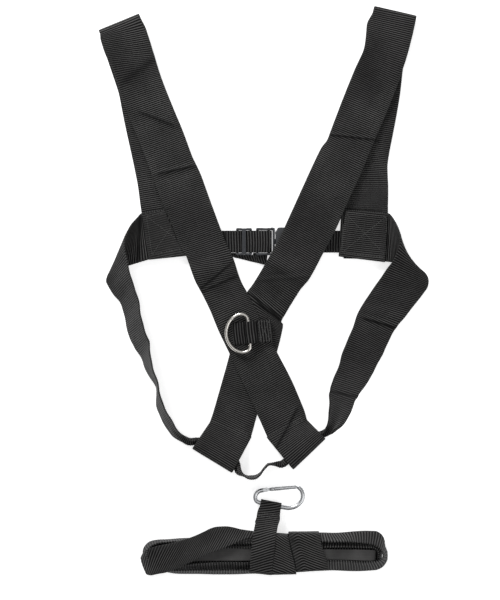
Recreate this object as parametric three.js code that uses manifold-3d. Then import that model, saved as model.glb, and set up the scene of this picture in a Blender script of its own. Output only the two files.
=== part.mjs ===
// Webbing shoulder harness (breastplate) with its folded pull strap and snap hook, laid flat.
// Millimetres, +Z up. The harness lies on z = 0, shoulder folds towards +Y, hem tunnels towards -Y.
import * as THREE from 'three';
import Module from 'manifold-3d';
import { mergeVertices } from 'three/addons/utils/BufferGeometryUtils.js';

// ---- driving dimensions -------------------------------------------------------------------
const WEB50 = 2.0;            // thickness of the 50 mm webbing
const WEB25 = 1.5;            // thickness of the 25 mm chest webbing
const TAB_WEB = 1.6;          // thickness of the D-ring tab webbing
const PULL_WEB = 1.8;         // thickness of the pull strap webbing
const CHEST_WIDTH = 25;       // chest strap width
const CHEST_Y = 56.4;         // centre line of the chest strap
const GAP = 0.3;              // clearance kept between touching pieces
const HEM_DEPTH = 36;         // stitch line of a hem tunnel, measured from its folded edge
const HEM_RADIUS = 5.75;      // centre-line radius of the hem turn
const D_WIRE = 4.0;           // D-ring wire diameter
const D_TILT = 5;             // degrees the D-ring lies below the level of its bar
const HOOK_WIRE = 5.2;        // snap hook wire diameter
const HOOK_Z = 4.9;           // height of the snap hook's plane
const PULL_WIDTH = 25.6;      // pull strap width

const wasm = await Module();
wasm.setup();

// ---- colours ------------------------------------------------------------------------------
const webbing = () => new THREE.MeshStandardMaterial({ color: 0x1b1c1e, roughness: 0.85, metalness: 0 });
const plastic = () => new THREE.MeshStandardMaterial({ color: 0x222428, roughness: 0.45, metalness: 0 });
const nickel = () => new THREE.MeshStandardMaterial({ color: 0xd8d3cb, roughness: 0.2, metalness: 1 });
const zinc = () => new THREE.MeshStandardMaterial({ color: 0xc9ccd0, roughness: 0.28, metalness: 1 });

// ---- helpers ------------------------------------------------------------------------------
const sub = (a, b) => [a[0] - b[0], a[1] - b[1], a[2] - b[2]];
const mix = (a, b, f) => a.map((v, i) => v + (b[i] - v) * f);
const cross = (a, b) => [a[1] * b[2] - a[2] * b[1], a[2] * b[0] - a[0] * b[2], a[0] * b[1] - a[1] * b[0]];
const unit = (a) => { const l = Math.hypot(...a); return a.map((v) => v / l); };

function closedGeometry(points, faces) {
  let volume = 0;
  for (const [a, b, c] of faces) {
    const p = points[a], q = points[b], r = points[c];
    const k = cross(q, r);
    volume += p[0] * k[0] + p[1] * k[1] + p[2] * k[2];
  }
  const geometry = new THREE.BufferGeometry();
  geometry.setAttribute('position', new THREE.Float32BufferAttribute(points.flat(), 3));
  geometry.setIndex(faces.flatMap(([a, b, c]) => (volume < 0 ? [a, c, b] : [a, b, c])));
  geometry.computeVertexNormals();
  return geometry;
}

// A strap: stations {a, b, t}, a and b being the middle of its two edges and t its thickness.
function ribbon(stations) {
  const points = [];
  const faces = [];
  const n = stations.length;
  stations.forEach((s, i) => {
    const p = stations[Math.max(0, i - 1)], q = stations[Math.min(n - 1, i + 1)];
    const along = sub(mix(q.a, q.b, 0.5), mix(p.a, p.b, 0.5));
    const h = unit(cross(along, sub(s.b, s.a))).map((v) => v * s.t / 2);
    points.push(s.a.map((v, k) => v + h[k]), s.b.map((v, k) => v + h[k]));
    points.push(s.b.map((v, k) => v - h[k]), s.a.map((v, k) => v - h[k]));
  });
  for (let i = 0; i < n - 1; i++) {
    for (let k = 0; k < 4; k++) {
      const a = i * 4 + k, b = i * 4 + (k + 1) % 4;
      // Both broad faces split along the same diagonal, so that a twisted strap keeps its thickness.
      if (k === 2) faces.push([a, b, a + 4], [b, b + 4, a + 4]);
      else faces.push([a, b, b + 4], [a, b + 4, a + 4]);
    }
  }
  const e = (n - 1) * 4;
  faces.push([0, 2, 1], [0, 3, 2], [e, e + 1, e + 2], [e, e + 2, e + 3]);
  return closedGeometry(points, faces);
}

const flat = (rows, t) => rows.map(([ax, ay, bx, by, z]) => ({ a: [ax, ay, z], b: [bx, by, z], t }));
const edges = (rows) => rows.map(([ax, ay, az, bx, by, bz, t]) => ({ a: [ax, ay, az], b: [bx, by, bz], t }));

// A strap section standing on its edge, or bunched: centre, top, bottom and thickness.
const upright = (rows) => rows.map(([x, y, top, low, t]) => ({ a: [x, y, top], b: [x, y, low], t }));

// A wire swept along a planar path. normal is the plane's normal.
function wire(path, radius, sides, normal, closed) {
  const points = [];
  const faces = [];
  const n = path.length;
  path.forEach((p, i) => {
    const prev = closed ? path[(i + n - 1) % n] : path[Math.max(0, i - 1)];
    const next = closed ? path[(i + 1) % n] : path[Math.min(n - 1, i + 1)];
    const side = unit(cross(unit(sub(next, prev)), normal));
    for (let k = 0; k < sides; k++) {
      const w = (k / sides) * 2 * Math.PI;
      points.push(p.map((v, j) => v + radius * (Math.cos(w) * side[j] + Math.sin(w) * normal[j])));
    }
  });
  const rings = closed ? n : n - 1;
  for (let i = 0; i < rings; i++) {
    const j = (i + 1) % n;
    for (let k = 0; k < sides; k++) {
      const l = (k + 1) % sides;
      faces.push([i * sides + k, i * sides + l, j * sides + l], [i * sides + k, j * sides + l, j * sides + k]);
    }
  }
  if (!closed) {
    for (let k = 1; k < sides - 1; k++) {
      faces.push([0, k + 1, k], [(n - 1) * sides, (n - 1) * sides + k, (n - 1) * sides + k + 1]);
    }
  }
  return closedGeometry(points, faces);
}

function solid(geometry) {
  const g = geometry.clone();
  g.deleteAttribute('normal');
  g.deleteAttribute('uv');
  const m = mergeVertices(g, 1e-4);
  return new wasm.Manifold(new wasm.Mesh({
    numProp: 3,
    vertProperties: new Float32Array(m.attributes.position.array),
    triVerts: new Uint32Array(m.index.array),
  }));
}

function fromSolid(body) {
  const mesh = body.getMesh();
  const points = new Float32Array((mesh.vertProperties.length / mesh.numProp) * 3);
  for (let i = 0; i < points.length / 3; i++) {
    for (let k = 0; k < 3; k++) points[i * 3 + k] = mesh.vertProperties[i * mesh.numProp + k];
  }
  const g = new THREE.BufferGeometry();
  g.setAttribute('position', new THREE.BufferAttribute(points, 3));
  g.setIndex(Array.from(mesh.triVerts));
  g.computeVertexNormals();
  return g;
}

// A box between two corners.
function block(x0, x1, y0, y1, z0, z1) {
  const g = new THREE.BoxGeometry(x1 - x0, y1 - y0, z1 - z0);
  g.translate((x0 + x1) / 2, (y0 + y1) / 2, (z0 + z1) / 2);
  return solid(g);
}

// A plate with round corners in plan.
function plate(x0, x1, y0, y1, z0, z1, r, steps = 3) {
  const s = new THREE.Shape();
  s.moveTo(x0 + r, y0);
  s.lineTo(x1 - r, y0); s.absarc(x1 - r, y0 + r, r, -Math.PI / 2, 0, false);
  s.lineTo(x1, y1 - r); s.absarc(x1 - r, y1 - r, r, 0, Math.PI / 2, false);
  s.lineTo(x0 + r, y1); s.absarc(x0 + r, y1 - r, r, Math.PI / 2, Math.PI, false);
  s.lineTo(x0, y0 + r); s.absarc(x0 + r, y0 + r, r, Math.PI, Math.PI * 1.5, false);
  const g = new THREE.ExtrudeGeometry(s, { depth: z1 - z0, bevelEnabled: false, curveSegments: steps });
  g.translate(0, 0, z0);
  return solid(g);
}

const join = (...parts) => parts.reduce((a, b) => a.add(b));

const harness = new THREE.Group();
function piece(name, geometry, material) {
  const mesh = new THREE.Mesh(geometry, material);
  mesh.name = name;
  harness.add(mesh);
}

// ---- shoulder straps ------------------------------------------------------------------------
// Rows are ax, ay, bx, by, z: left edge, right edge and height of the strap's middle plane.
const LEFT_FRONT = [
  [5.6, -170.3, 49.2, -146.8, 3.4], [-7.6, -140.6, 37.6, -118.3, 3.8], [-25.6, -101.2, 18.2, -76.2, 3.7],
  [-39.2, -71.5, 4.0, -47.7, 3.6], [-51.4, -46.1, -7.4, -24.9, 3.8], [-69.5, -6.6, -23.7, 8.2, 5.2],
  [-88.8, 39.8, -41.6, 54.9, 8.0], [-108.3, 83.0, -60.4, 100.0, 8.0], [-128.2, 133.8, -81.1, 152.1, 7.0],
  [-150.1, 190.2, -102.6, 206.6, 6.0], [-165.5, 229.4, -117.4, 244.8, 6.2], [-177.8, 263.6, -129.0, 280.7, 7.8],
];
const LEFT_TOP = [[-188.2, 297.4], [-142.8, 316.5]];
const LEFT_BACK = [
  [-179.0, 265.8, -131.6, 281.2, 1.0], [-165.5, 224.8, -116.4, 234.2, 1.0], [-155.5, 175.8, -106.4, 185.1, 1.0],
  [-143.8, 119.4, -94.6, 128.5, 1.0], [-139.1, 89.1, -89.7, 98.3, 1.0], [-130.9, 38.4, -81.5, 47.0, 1.0],
];
const LEFT_HEM = [[33.4, -203.5], [70.1, -167.9]];
const RIGHT_FRONT = [
  [-61.9, -149.6, -16.3, -170.3, 3.4], [-58.2, -138.0, -12.6, -157.5, 1.5], [-47.4, -101.2, 0.6, -114.3, 1.3], [-39.2, -71.6, 10.3, -80.7, 1.2],
  [-30.8, -38.5, 18.8, -53.4, 1.2], [-19.3, -1.3, 20.1, -34.0, 1.5], [-1.1, 27.6, 42.2, 2.5, 7.0],
  [4.6, 37.4, 48.2, 12.1, 10.9],
  [17.1, 58.9, 61.6, 33.3, 11.8], [28.2, 83.4, 73.5, 58.4, 11.8], [43.3, 116.5, 90.6, 91.4, 9.2],
  [61.6, 156.4, 108.9, 130.8, 7.2], [78.7, 190.2, 125.4, 170.7, 6.2], [91.2, 222.9, 138.5, 202.0, 6.2],
  [103.7, 253.8, 153.3, 239.6, 6.8], [114.0, 277.5, 164.2, 269.3, 7.8],
];
const RIGHT_TOP = [[125.9, 324.7], [174.0, 313.8]];
const RIGHT_BACK = [
  [115.7, 280.7, 164.2, 269.3, 1.0], [104.9, 231.6, 155.6, 223.7, 1.0], [99.2, 195.2, 148.5, 186.5, 1.0],
  [92.9, 161.0, 142.2, 153.8, 1.0], [91.2, 118.8, 141.6, 118.3, 1.0], [90.6, 89.1, 141.4, 88.5, 1.0],
  [90.6, 37.3, 141.9, 36.1, 1.0],
];
const RIGHT_HEM = [[-80.4, -180.2], [-37.0, -207.0]];

// The hem tunnel: the strap's end folded back under itself round the side strap. f = 0 is the folded
// edge and f = 1 the stitch line.
function hem(edge, first) {
  const at = (s, z) => ({
    a: [...mix(edge[0], first.a.slice(0, 2), s / HEM_DEPTH), z],
    b: [...mix(edge[1], first.b.slice(0, 2), s / HEM_DEPTH), z],
    t: WEB50,
  });
  const rows = [at(37, 1), at(28, 1), at(18, 1), at(10, 1)];
  const c = HEM_RADIUS + 1;
  for (let k = 0; k <= 6; k++) {
    const w = -Math.PI / 2 + (k * Math.PI) / 6;
    rows.push(at(c - HEM_RADIUS * Math.cos(w), c + HEM_RADIUS * Math.sin(w)));
  }
  rows.push(at(16, 12.3), at(22, 9.2), at(28, 5.8), at(33, 3.9));
  return rows;
}

// The shoulder fold: the strap turns over and comes back underneath.
function fold(edge, front, back) {
  const out = unit([edge[0][1] - edge[1][1], edge[1][0] - edge[0][0], 0]);
  const top = front.a[2] + 0.7, r = (top - back.a[2]) / 2, zc = (top + back.a[2]) / 2;
  const rows = [];
  for (let k = 0; k <= 6; k++) {
    const w = Math.PI / 2 - (k * Math.PI) / 6;
    const s = -(1 + r) + r * Math.cos(w), z = zc + r * Math.sin(w);
    rows.push({
      a: [edge[0][0] + out[0] * s, edge[0][1] + out[1] * s, z],
      b: [edge[1][0] + out[0] * s, edge[1][1] + out[1] * s, z],
      t: WEB50,
    });
  }
  return rows;
}

function shoulder(front, top, back, hemEdge) {
  const f = flat(front, WEB50), b = flat(back, WEB50);
  return [...hem(hemEdge, f[0]), ...f, ...fold(top, f[f.length - 1], b[0]), ...b];
}
const leftStations = shoulder(LEFT_FRONT, LEFT_TOP, LEFT_BACK, LEFT_HEM);
const rightStations = shoulder(RIGHT_FRONT, RIGHT_TOP, RIGHT_BACK, RIGHT_HEM);
piece('shoulder_strap_left', ribbon(leftStations), webbing());
piece('shoulder_strap_right', ribbon(rightStations), webbing());

// ---- side strap: one 50 mm strap, from the left patch through both hem tunnels to the right patch --
// Rows are the upper edge x, y, z, the lower edge x, y, z and the thickness.
const SIDE_LEFT = [
  [-87.8, 96.6, 5.2, -83.2, 46.4, 5.2, 2], [-138.7, 89.4, 5.2, -130.9, 37.3, 5.2, 2], [-145.9, 81.2, 10, -151.6, 29.9, 3.6, 2],
  [-153.3, 69.8, 18, -169.9, 23.6, 2.4, 2], [-159.0, 54.9, 26, -178.1, 16.8, 1.9, 2], [-156.8, 37.8, 33, -177.8, 8.2, 1.4, 2],
  [-152.2, 19.6, 38, -175.0, 1.4, 1.4, 2], [-146.4, 0.3, 42, -167.6, -8.3, 1.4, 2], [-141.9, -19.2, 44.5, -159.6, -23.7, 1.4, 2],
  [-137.7, -38.5, 45.5, -155.6, -40.8, 1.4, 2], [-130.9, -56.8, 46, -151.0, -59.1, 1.4, 2], [-128.8, -76.2, 48, -137.9, -76.7, 1.4, 2],
  [-124.3, -97.8, 49.5, -130.2, -97.8, 1.4, 2], [-118.6, -113.8, 49, -121.3, -113.2, 1.4, 2], [-114.6, -129.7, 45, -119.9, -130.9, 1.4, 2],
  [-105.4, -147.4, 34, -112.3, -150.8, 1.4, 2.6], [-95.6, -159.5, 20, -100.4, -163.9, 1.8, 4.5], [-86.5, -165.2, 11, -88.2, -168.0, 2.4, 8],
];
const SIDE_RIGHT = [
  [73.5, -152.5, 14, 77.2, -155.5, 2.2, 6.5], [74.3, -144.8, 26, 87.8, -149.4, 1.6, 4], [74.4, -133.2, 37, 98.6, -136.0, 1.4, 2.2],
  [74.6, -119.5, 39, 104.9, -122.3, 1.4, 2], [79.8, -103.5, 38, 112.9, -110.4, 1.4, 2], [87.8, -79.6, 34, 125.4, -87.6, 1.4, 2],
  [96.0, -55.6, 25, 139.1, -63.0, 1.4, 2], [103.2, -36.3, 15, 149.3, -44.2, 1.4, 2], [111.7, -16.9, 8.5, 160.7, -30.6, 1.4, 2],
  [127.7, 7.1, 9, 175.0, -11.7, 1.4, 2], [140.8, 26.4, 14, 185.2, 1.9, 1.4, 2], [151.0, 42.4, 20, 186.4, 12.2, 1.9, 2],
  [156.0, 57.2, 23, 179.5, 21.3, 2.4, 2], [155.0, 69.8, 19, 165.3, 27.6, 3.0, 2], [149.3, 81.2, 12, 153.3, 32.1, 4.2, 2],
  [141.6, 88.7, 5.2, 144.0, 33.9, 5.2, 2], [89.5, 92.2, 5.2, 88.3, 39.3, 5.2, 2],
];
const BUNCH_TOP = 10.4, BUNCH_LOW = 2.4, BUNCH_S = 10.5;
// Centre of the bunched side strap inside a hem tunnel, u = 0 at the tunnel's left mouth.
function inTunnel(edge, first, u, t) {
  const a = mix(edge[0], first.a.slice(0, 2), BUNCH_S / HEM_DEPTH);
  const b = mix(edge[1], first.b.slice(0, 2), BUNCH_S / HEM_DEPTH);
  const [x, y] = mix(a, b, u);
  return { a: [x, y, BUNCH_TOP], b: [x, y, BUNCH_LOW], t };
}
const hemL = (u, t) => inTunnel(LEFT_HEM, flat([LEFT_FRONT[0]], 2)[0], u, t);
const hemR = (u, t) => inTunnel(RIGHT_HEM, flat([RIGHT_FRONT[0]], 2)[0], u, t);
piece('side_strap_left', ribbon([...edges(SIDE_LEFT), hemR(0.02, 9.5), hemR(0.49, 9.5)]), webbing());
const SIDE_BOTTOM = [
  [-24.4, -202.6, 17, 1.6, 5], [-16.2, -207.8, 28, 1.2, 2.4], [-8.0, -206.8, 34, 1.2, 2],
  [-1.1, -200.6, 30, 1.2, 2.2], [6.3, -196.0, 19, 1.4, 5], [15.5, -195.2, 11.5, 2.4, 9],
];
piece('side_strap_bottom', ribbon([hemR(0.51, 9.5), hemR(0.98, 9.5), ...upright(SIDE_BOTTOM), hemL(0.06, 10), hemL(0.49, 9)]), webbing());
piece('side_strap_right', ribbon([hemL(0.52, 8.5), hemL(0.95, 8), ...edges(SIDE_RIGHT)]), webbing());

// ---- chest strap, adjuster and side-release buckle ---------------------------------------------
const Y0 = CHEST_Y - CHEST_WIDTH / 2, Y1 = CHEST_Y + CHEST_WIDTH / 2;
const chest = (path) => ribbon(path.map(([x, z]) => ({ a: [x, Y0, z], b: [x, Y1, z], t: WEB25 })));
piece('chest_strap_left', chest([
  [-128, 3.1], [-84, 3.1], [-50, 2.95], [-33, 2.95], [-28.7, 2.95], [-25.3, 1.1], [-20.3, 1.1], [-16.9, 2.95], [-13, 2.95],
  [-9.4, 2.95], [-5.6, 2.95], [1.5, 1.85], [6.4, 1.85], [7.35, 2.15], [7.85, 3.0], [7.85, 5.2], [7.35, 6.05], [6.4, 6.35],
  [1.5, 6.35], [-5.6, 4.75], [-9.4, 4.75], [-13, 4.75], [-16.9, 4.75], [-20.3, 2.9], [-25.3, 2.9], [-28.7, 4.75], [-33, 4.75], [-48, 4.9],
]), webbing());
piece('chest_strap_right', chest([
  [60, 7.1], [44.4, 7.1], [41.2, 7.1], [40.2, 6.7], [39.85, 5.8], [39.85, 3.4], [40.2, 2.5], [41.2, 2.1], [44.4, 2.1], [62, 2.3], [84, 3.1], [140, 3.1],
]), webbing());

const bar = (x0, x1, z0, z1, half) => block(x0, x1, CHEST_Y - half, CHEST_Y + half, z0, z1);
// Three-bar adjuster: two low outer bars under the webbing, a high centre bar over it.
piece('strap_adjuster', fromSolid(join(
  plate(-31.9, -13.7, CHEST_Y + 12.9, CHEST_Y + 15.3, 0.3, 5.9, 1.0),
  plate(-31.9, -13.7, CHEST_Y - 15.3, CHEST_Y - 12.9, 0.3, 5.9, 1.0),
  bar(-31.9, -29.0, 0.3, 1.9, 14), bar(-25.1, -20.5, 3.95, 5.9, 14), bar(-16.6, -13.7, 0.3, 1.9, 14),
)), plastic());

// Male half: frame with a low outer bar, the bar that the webbing turns round, a shoulder and a tongue.
piece('buckle_male', fromSolid(join(
  plate(-9.1, 12.2, CHEST_Y + 12.9, CHEST_Y + 15.6, 0.4, 6.4, 1.0),
  plate(-9.1, 12.2, CHEST_Y - 15.6, CHEST_Y - 12.9, 0.4, 6.4, 1.0),
  bar(-9.1, -6.2, 0.4, 1.9, 14), bar(4.0, 6.8, 2.9, 5.3, 14),
  plate(10.2, 12.3, CHEST_Y - 15.6, CHEST_Y + 15.6, 0.8, 8.3, 1.0), bar(12.0, 28, 3.2, 6.0, 3),
)), plastic());

function prong(name, sign) {
  const s = new THREE.Shape();
  const p = [[12.7, 8.0], [30, 8.6], [31.5, 10.2], [30.6, 12.2], [24.5, 15.5], [22.4, 15.5], [21.6, 11.4], [12.7, 11.4]];
  p.forEach(([x, y], i) => (i ? s.lineTo(x, CHEST_Y + sign * y) : s.moveTo(x, CHEST_Y + sign * y)));
  const g = new THREE.ExtrudeGeometry(s, { depth: 4, bevelEnabled: false });
  g.translate(0, 0, 2.6);
  piece(name, fromSolid(solid(g)), plastic());
}
prong('buckle_prong_upper', 1);
prong('buckle_prong_lower', -1);

// Female half: top and bottom plates open at the mouth and sides, a rear wall and the strap bar.
piece('buckle_female', fromSolid(join(
  plate(12.7, 44, CHEST_Y - 16, CHEST_Y + 16, 0.3, 8.9, 2.5)
    .subtract(block(12, 33.6, CHEST_Y - 17, CHEST_Y + 17, 2.0, 7.2))
    .subtract(block(36.2, 45, CHEST_Y - 13.2, CHEST_Y + 13.2, 0, 10)),
  bar(41.0, 44.0, 3.2, 6.0, 14),
)), plastic());

// ---- D-ring and its tab -------------------------------------------------------------------------
const D_CENTRE = [-17.05, -47.05, 10.7];
const D_ALONG = unit([-2.7, 28.5, 0]);
const D_OUT = [-D_ALONG[1], D_ALONG[0], 0];
const tilt = (D_TILT * Math.PI) / 180;
const D_ARM = [D_OUT[0] * Math.cos(tilt), D_OUT[1] * Math.cos(tilt), -Math.sin(tilt)];
const dPoint = (u, v, w = 0) => [0, 1, 2].map((k) => D_CENTRE[k] + D_ALONG[k] * u + D_ARM[k] * v + (k === 2 ? w : 0));
const half = [[14, 0], [18.4, 1.0], [21.0, 4.2], [21.7, 8.3], [20.4, 13.4], [17.0, 18.6], [12.0, 22.7], [6.0, 25.1]];
const outline = [[0, 0], ...half, [0, 25.9], ...half.slice().reverse().map(([u, v]) => [-u, v])];
const dCurve = new THREE.CatmullRomCurve3(outline.map(([u, v]) => new THREE.Vector3(u, v, 0)), true, 'centripetal');
const dPath = dCurve.getSpacedPoints(44).slice(0, 44).map((p) => dPoint(p.x, p.y));
piece('d_ring', wire(dPath, D_WIRE / 2, 10, unit(cross(D_ALONG, D_ARM)), true), nickel());

// Tab webbing round the bar, on a sewn base strip. v runs away from the ring.
const tabAt = (v, z, t = TAB_WEB, width = PULL_WIDTH) => ({
  a: [D_CENTRE[0] - D_OUT[0] * v + D_ALONG[0] * width / 2, D_CENTRE[1] - D_OUT[1] * v + D_ALONG[1] * width / 2, z],
  b: [D_CENTRE[0] - D_OUT[0] * v - D_ALONG[0] * width / 2, D_CENTRE[1] - D_OUT[1] * v - D_ALONG[1] * width / 2, z],
  t,
});
const TAB_R = 3.1, BAR_Z = D_CENTRE[2];
const turn = [];
for (let k = 0; k <= 6; k++) {
  const w = -Math.PI / 2 + (k * Math.PI) / 6;
  turn.push(tabAt(-TAB_R * Math.cos(w), BAR_Z + TAB_R * Math.sin(w)));
}
piece('d_ring_tab', ribbon([
  tabAt(25.2, 7.6), tabAt(9, 7.6), ...turn, tabAt(4, 13.0), tabAt(7, 11.3), tabAt(10, 9.7), tabAt(25.4, 9.6),
]), webbing());
piece('d_ring_base', ribbon([tabAt(-18.5, 5.7), tabAt(25.8, 5.7)]), webbing());

// ---- pull strap: folded hank, wraps, tail and snap hook -----------------------------------------
const hankShape = new THREE.Shape();
const HX0 = -137.5, HX1 = 141, HY0 = -319.8, HY1 = -277.2, HR = 12;
hankShape.moveTo(HX0 + HR, HY0);
hankShape.lineTo(HX1 - HR, HY0); hankShape.absarc(HX1 - HR, HY0 + HR, HR, -Math.PI / 2, 0, false);
hankShape.lineTo(HX1, HY1 - HR); hankShape.absarc(HX1 - HR, HY1 - HR, HR, 0, Math.PI / 2, false);
hankShape.lineTo(HX0 + HR, HY1); hankShape.absarc(HX0 + HR, HY1 - HR, HR, Math.PI / 2, Math.PI, false);
hankShape.lineTo(HX0, HY0 + HR); hankShape.absarc(HX0 + HR, HY0 + HR, HR, Math.PI, Math.PI * 1.5, false);
const hank = new THREE.ExtrudeGeometry(hankShape, { depth: 19.4, bevelEnabled: false, curveSegments: 5 });
hank.translate(0, 0, 2.6);
piece('pull_strap_hank', fromSolid(solid(hank)), webbing());

// The wraps: a band round the middle of the hank, drawn in Y and Z and run along X.
const round = (path, y0, y1, z0, z1, r) => {
  path.moveTo(y0 + r, z0);
  path.lineTo(y1 - r, z0); path.absarc(y1 - r, z0 + r, r, -Math.PI / 2, 0, false);
  path.lineTo(y1, z1 - r); path.absarc(y1 - r, z1 - r, r, 0, Math.PI / 2, false);
  path.lineTo(y0 + r, z1); path.absarc(y0 + r, z1 - r, r, Math.PI / 2, Math.PI, false);
  path.lineTo(y0, z0 + r); path.absarc(y0 + r, z0 + r, r, Math.PI, Math.PI * 1.5, false);
  return path;
};
const band = round(new THREE.Shape(), -322.6, -274.4, 0, 24.6, 2.6);
band.holes.push(round(new THREE.Path(), -320.3, -276.7, 2.2, 22.4, 0.4));
const wraps = new THREE.ExtrudeGeometry(band, { depth: 89.5, bevelEnabled: false, curveSegments: 4 });
wraps.applyMatrix4(new THREE.Matrix4().makeBasis(new THREE.Vector3(0, 1, 0), new THREE.Vector3(0, 0, 1), new THREE.Vector3(1, 0, 0)));
wraps.translate(-16.5, 0, 0);
piece('pull_strap_wraps', fromSolid(solid(wraps)), webbing());

// Tail: two layers turned round the hook's long side and sewn, then one layer up on to the wraps.
const SPINE = [7.6, -243.05, HOOK_Z];
const SPINE_DIR = unit([26.9, -5.3, 0]);
const SPINE_OUT = [-SPINE_DIR[1], SPINE_DIR[0], 0];
const LOOP_R = 3.95;
const loopAt = (s, z) => ({
  a: [SPINE[0] + SPINE_OUT[0] * s - SPINE_DIR[0] * PULL_WIDTH / 2, SPINE[1] + SPINE_OUT[1] * s - SPINE_DIR[1] * PULL_WIDTH / 2, z],
  b: [SPINE[0] + SPINE_OUT[0] * s + SPINE_DIR[0] * PULL_WIDTH / 2, SPINE[1] + SPINE_OUT[1] * s + SPINE_DIR[1] * PULL_WIDTH / 2, z],
  t: PULL_WEB,
});
const loop = [];
for (let k = 0; k <= 6; k++) {
  const w = -Math.PI / 2 + (k * Math.PI) / 6;
  loop.push(loopAt(LOOP_R * Math.cos(w), HOOK_Z + LOOP_R * Math.sin(w)));
}
piece('pull_strap_tail', ribbon([
  ...flat([[-10.6, -263.5, 15.8, -267.5, 0.95]], PULL_WEB), ...loop,
  ...flat([[-7.8, -251.1, 18.5, -255.7, 10], [-10.3, -262.0, 16.0, -265.4, 18.0], [-12.7, -272.2, 13.5, -275.2, 25.8],
    [-14.2, -279.1, 12.5, -281.4, 25.9], [-16.2, -317.8, 9.6, -320.7, 25.9]], PULL_WEB),
]), webbing());

const hookPoints = [[-0.6, -226.2], [-5.2, -227.3], [-8.9, -230.4], [-10.2, -234.6], [-8.9, -238.5], [-5.4, -240.45], [-2.2, -241.1],
  [5.6, -242.65], [13.5, -244.2], [21.3, -245.75], [29.5, -246.6], [37.0, -244.2], [42.5, -238.8], [44.2, -232.0], [42.6, -226.6], [39.8, -223.7]];
const hookCurve = new THREE.CatmullRomCurve3(hookPoints.map(([x, y]) => new THREE.Vector3(x, y, HOOK_Z)), false, 'centripetal');
const hookPath = hookCurve.getSpacedPoints(46).map((p) => [p.x, p.y, p.z]);
const PIN = [2.6, -225.75];
const cheek = (z0, z1) => {
  const g = new THREE.BoxGeometry(6.6, 4.2, z1 - z0);
  g.rotateZ(0.12);
  g.translate(1.6, -225.95, (z0 + z1) / 2);
  return solid(g);
};
const pinHole = (r, z0, z1) => {
  const g = new THREE.CylinderGeometry(r, r, z1 - z0, 12);
  g.rotateX(Math.PI / 2);
  g.translate(PIN[0], PIN[1], (z0 + z1) / 2);
  return solid(g);
};
piece('carabiner_body', fromSolid(
  solid(wire(hookPath, HOOK_WIRE / 2, 10, [0, 0, 1], false))
    .add(cheek(HOOK_Z + 1.5, HOOK_Z + 2.6)).add(cheek(HOOK_Z - 2.6, HOOK_Z - 1.5))
    .subtract(pinHole(1.1, 0, 10)),
), zinc());
piece('carabiner_pin', fromSolid(pinHole(0.75, HOOK_Z - 2.6, HOOK_Z + 2.6)), zinc());

const GATE_TIP = [36.0, -222.9];
const gateDir = unit([GATE_TIP[0] - PIN[0], GATE_TIP[1] - PIN[1], 0]);
const gateLength = Math.hypot(GATE_TIP[0] - PIN[0], GATE_TIP[1] - PIN[1]);
const rod = new THREE.CylinderGeometry(2.2, 2.2, gateLength - 4.8, 12);
rod.rotateZ(-Math.PI / 2);
rod.translate(4.8 + (gateLength - 4.8) / 2, 0, 0);
const lug = new THREE.BoxGeometry(8, 3.2, 2.4);
lug.translate(2.6, 0, 0);
const place = (g) => { g.rotateZ(Math.atan2(gateDir[1], gateDir[0])); g.translate(PIN[0], PIN[1], HOOK_Z); return solid(g); };
piece('carabiner_gate', fromSolid(place(rod).add(place(lug)).subtract(pinHole(1.1, 0, 10))), zinc());

// The frame's origin is the middle of the whole part's outline, on the surface it lies on.
harness.position.set(0.76, -1.05, 0);

export default harness;
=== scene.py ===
"""Looks of the webbing shoulder harness, its folded pull strap and snap hook.

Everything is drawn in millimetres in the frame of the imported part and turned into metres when
a mesh is made. Straps are lofted strips with real ribs, wires are swept, mouldings are remeshed
unions of rounded blocks, and the stitches are laid on the finished straps.
"""
import math

import bpy
import numpy as np
from mathutils import Matrix, Vector


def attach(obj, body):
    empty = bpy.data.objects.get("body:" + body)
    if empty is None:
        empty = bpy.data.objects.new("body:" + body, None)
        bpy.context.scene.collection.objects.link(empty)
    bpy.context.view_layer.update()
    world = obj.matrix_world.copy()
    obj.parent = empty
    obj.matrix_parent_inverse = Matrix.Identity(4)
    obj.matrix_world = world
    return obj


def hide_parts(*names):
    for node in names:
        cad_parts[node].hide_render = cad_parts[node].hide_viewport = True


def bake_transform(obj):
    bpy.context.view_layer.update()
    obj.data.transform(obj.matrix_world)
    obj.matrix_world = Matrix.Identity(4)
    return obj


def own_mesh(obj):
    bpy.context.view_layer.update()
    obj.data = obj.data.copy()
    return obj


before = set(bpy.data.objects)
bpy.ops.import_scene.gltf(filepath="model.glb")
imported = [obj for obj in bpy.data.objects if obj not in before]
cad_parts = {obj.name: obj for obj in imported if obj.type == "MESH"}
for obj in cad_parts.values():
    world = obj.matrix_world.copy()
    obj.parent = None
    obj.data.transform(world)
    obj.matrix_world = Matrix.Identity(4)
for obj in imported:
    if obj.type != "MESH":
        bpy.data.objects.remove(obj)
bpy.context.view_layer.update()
MM = 0.001
SHIFT = np.array([0.76, -1.05, 0.0])      # the part's own offset, for numbers that the CAD source gives
rng = np.random.default_rng(11)

# ---- camera; the floor and lights come at the end -----------------------------------------------
scene = bpy.context.scene
scene.view_settings.view_transform = "Standard"
scene.view_settings.look = "None"
cam_data = bpy.data.cameras.new("camera")
cam_data.type = "PERSP"
cam_data.sensor_width = 36.0
cam_data.lens = 131.6
cam_data.clip_start, cam_data.clip_end = 0.01, 50
camera = bpy.data.objects.new("camera", cam_data)
camera.location = (-0.0152, -0.0111, 2.5)
camera.rotation_euler = (0, 0, 0)
scene.collection.objects.link(camera)
scene.camera = camera

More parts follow.
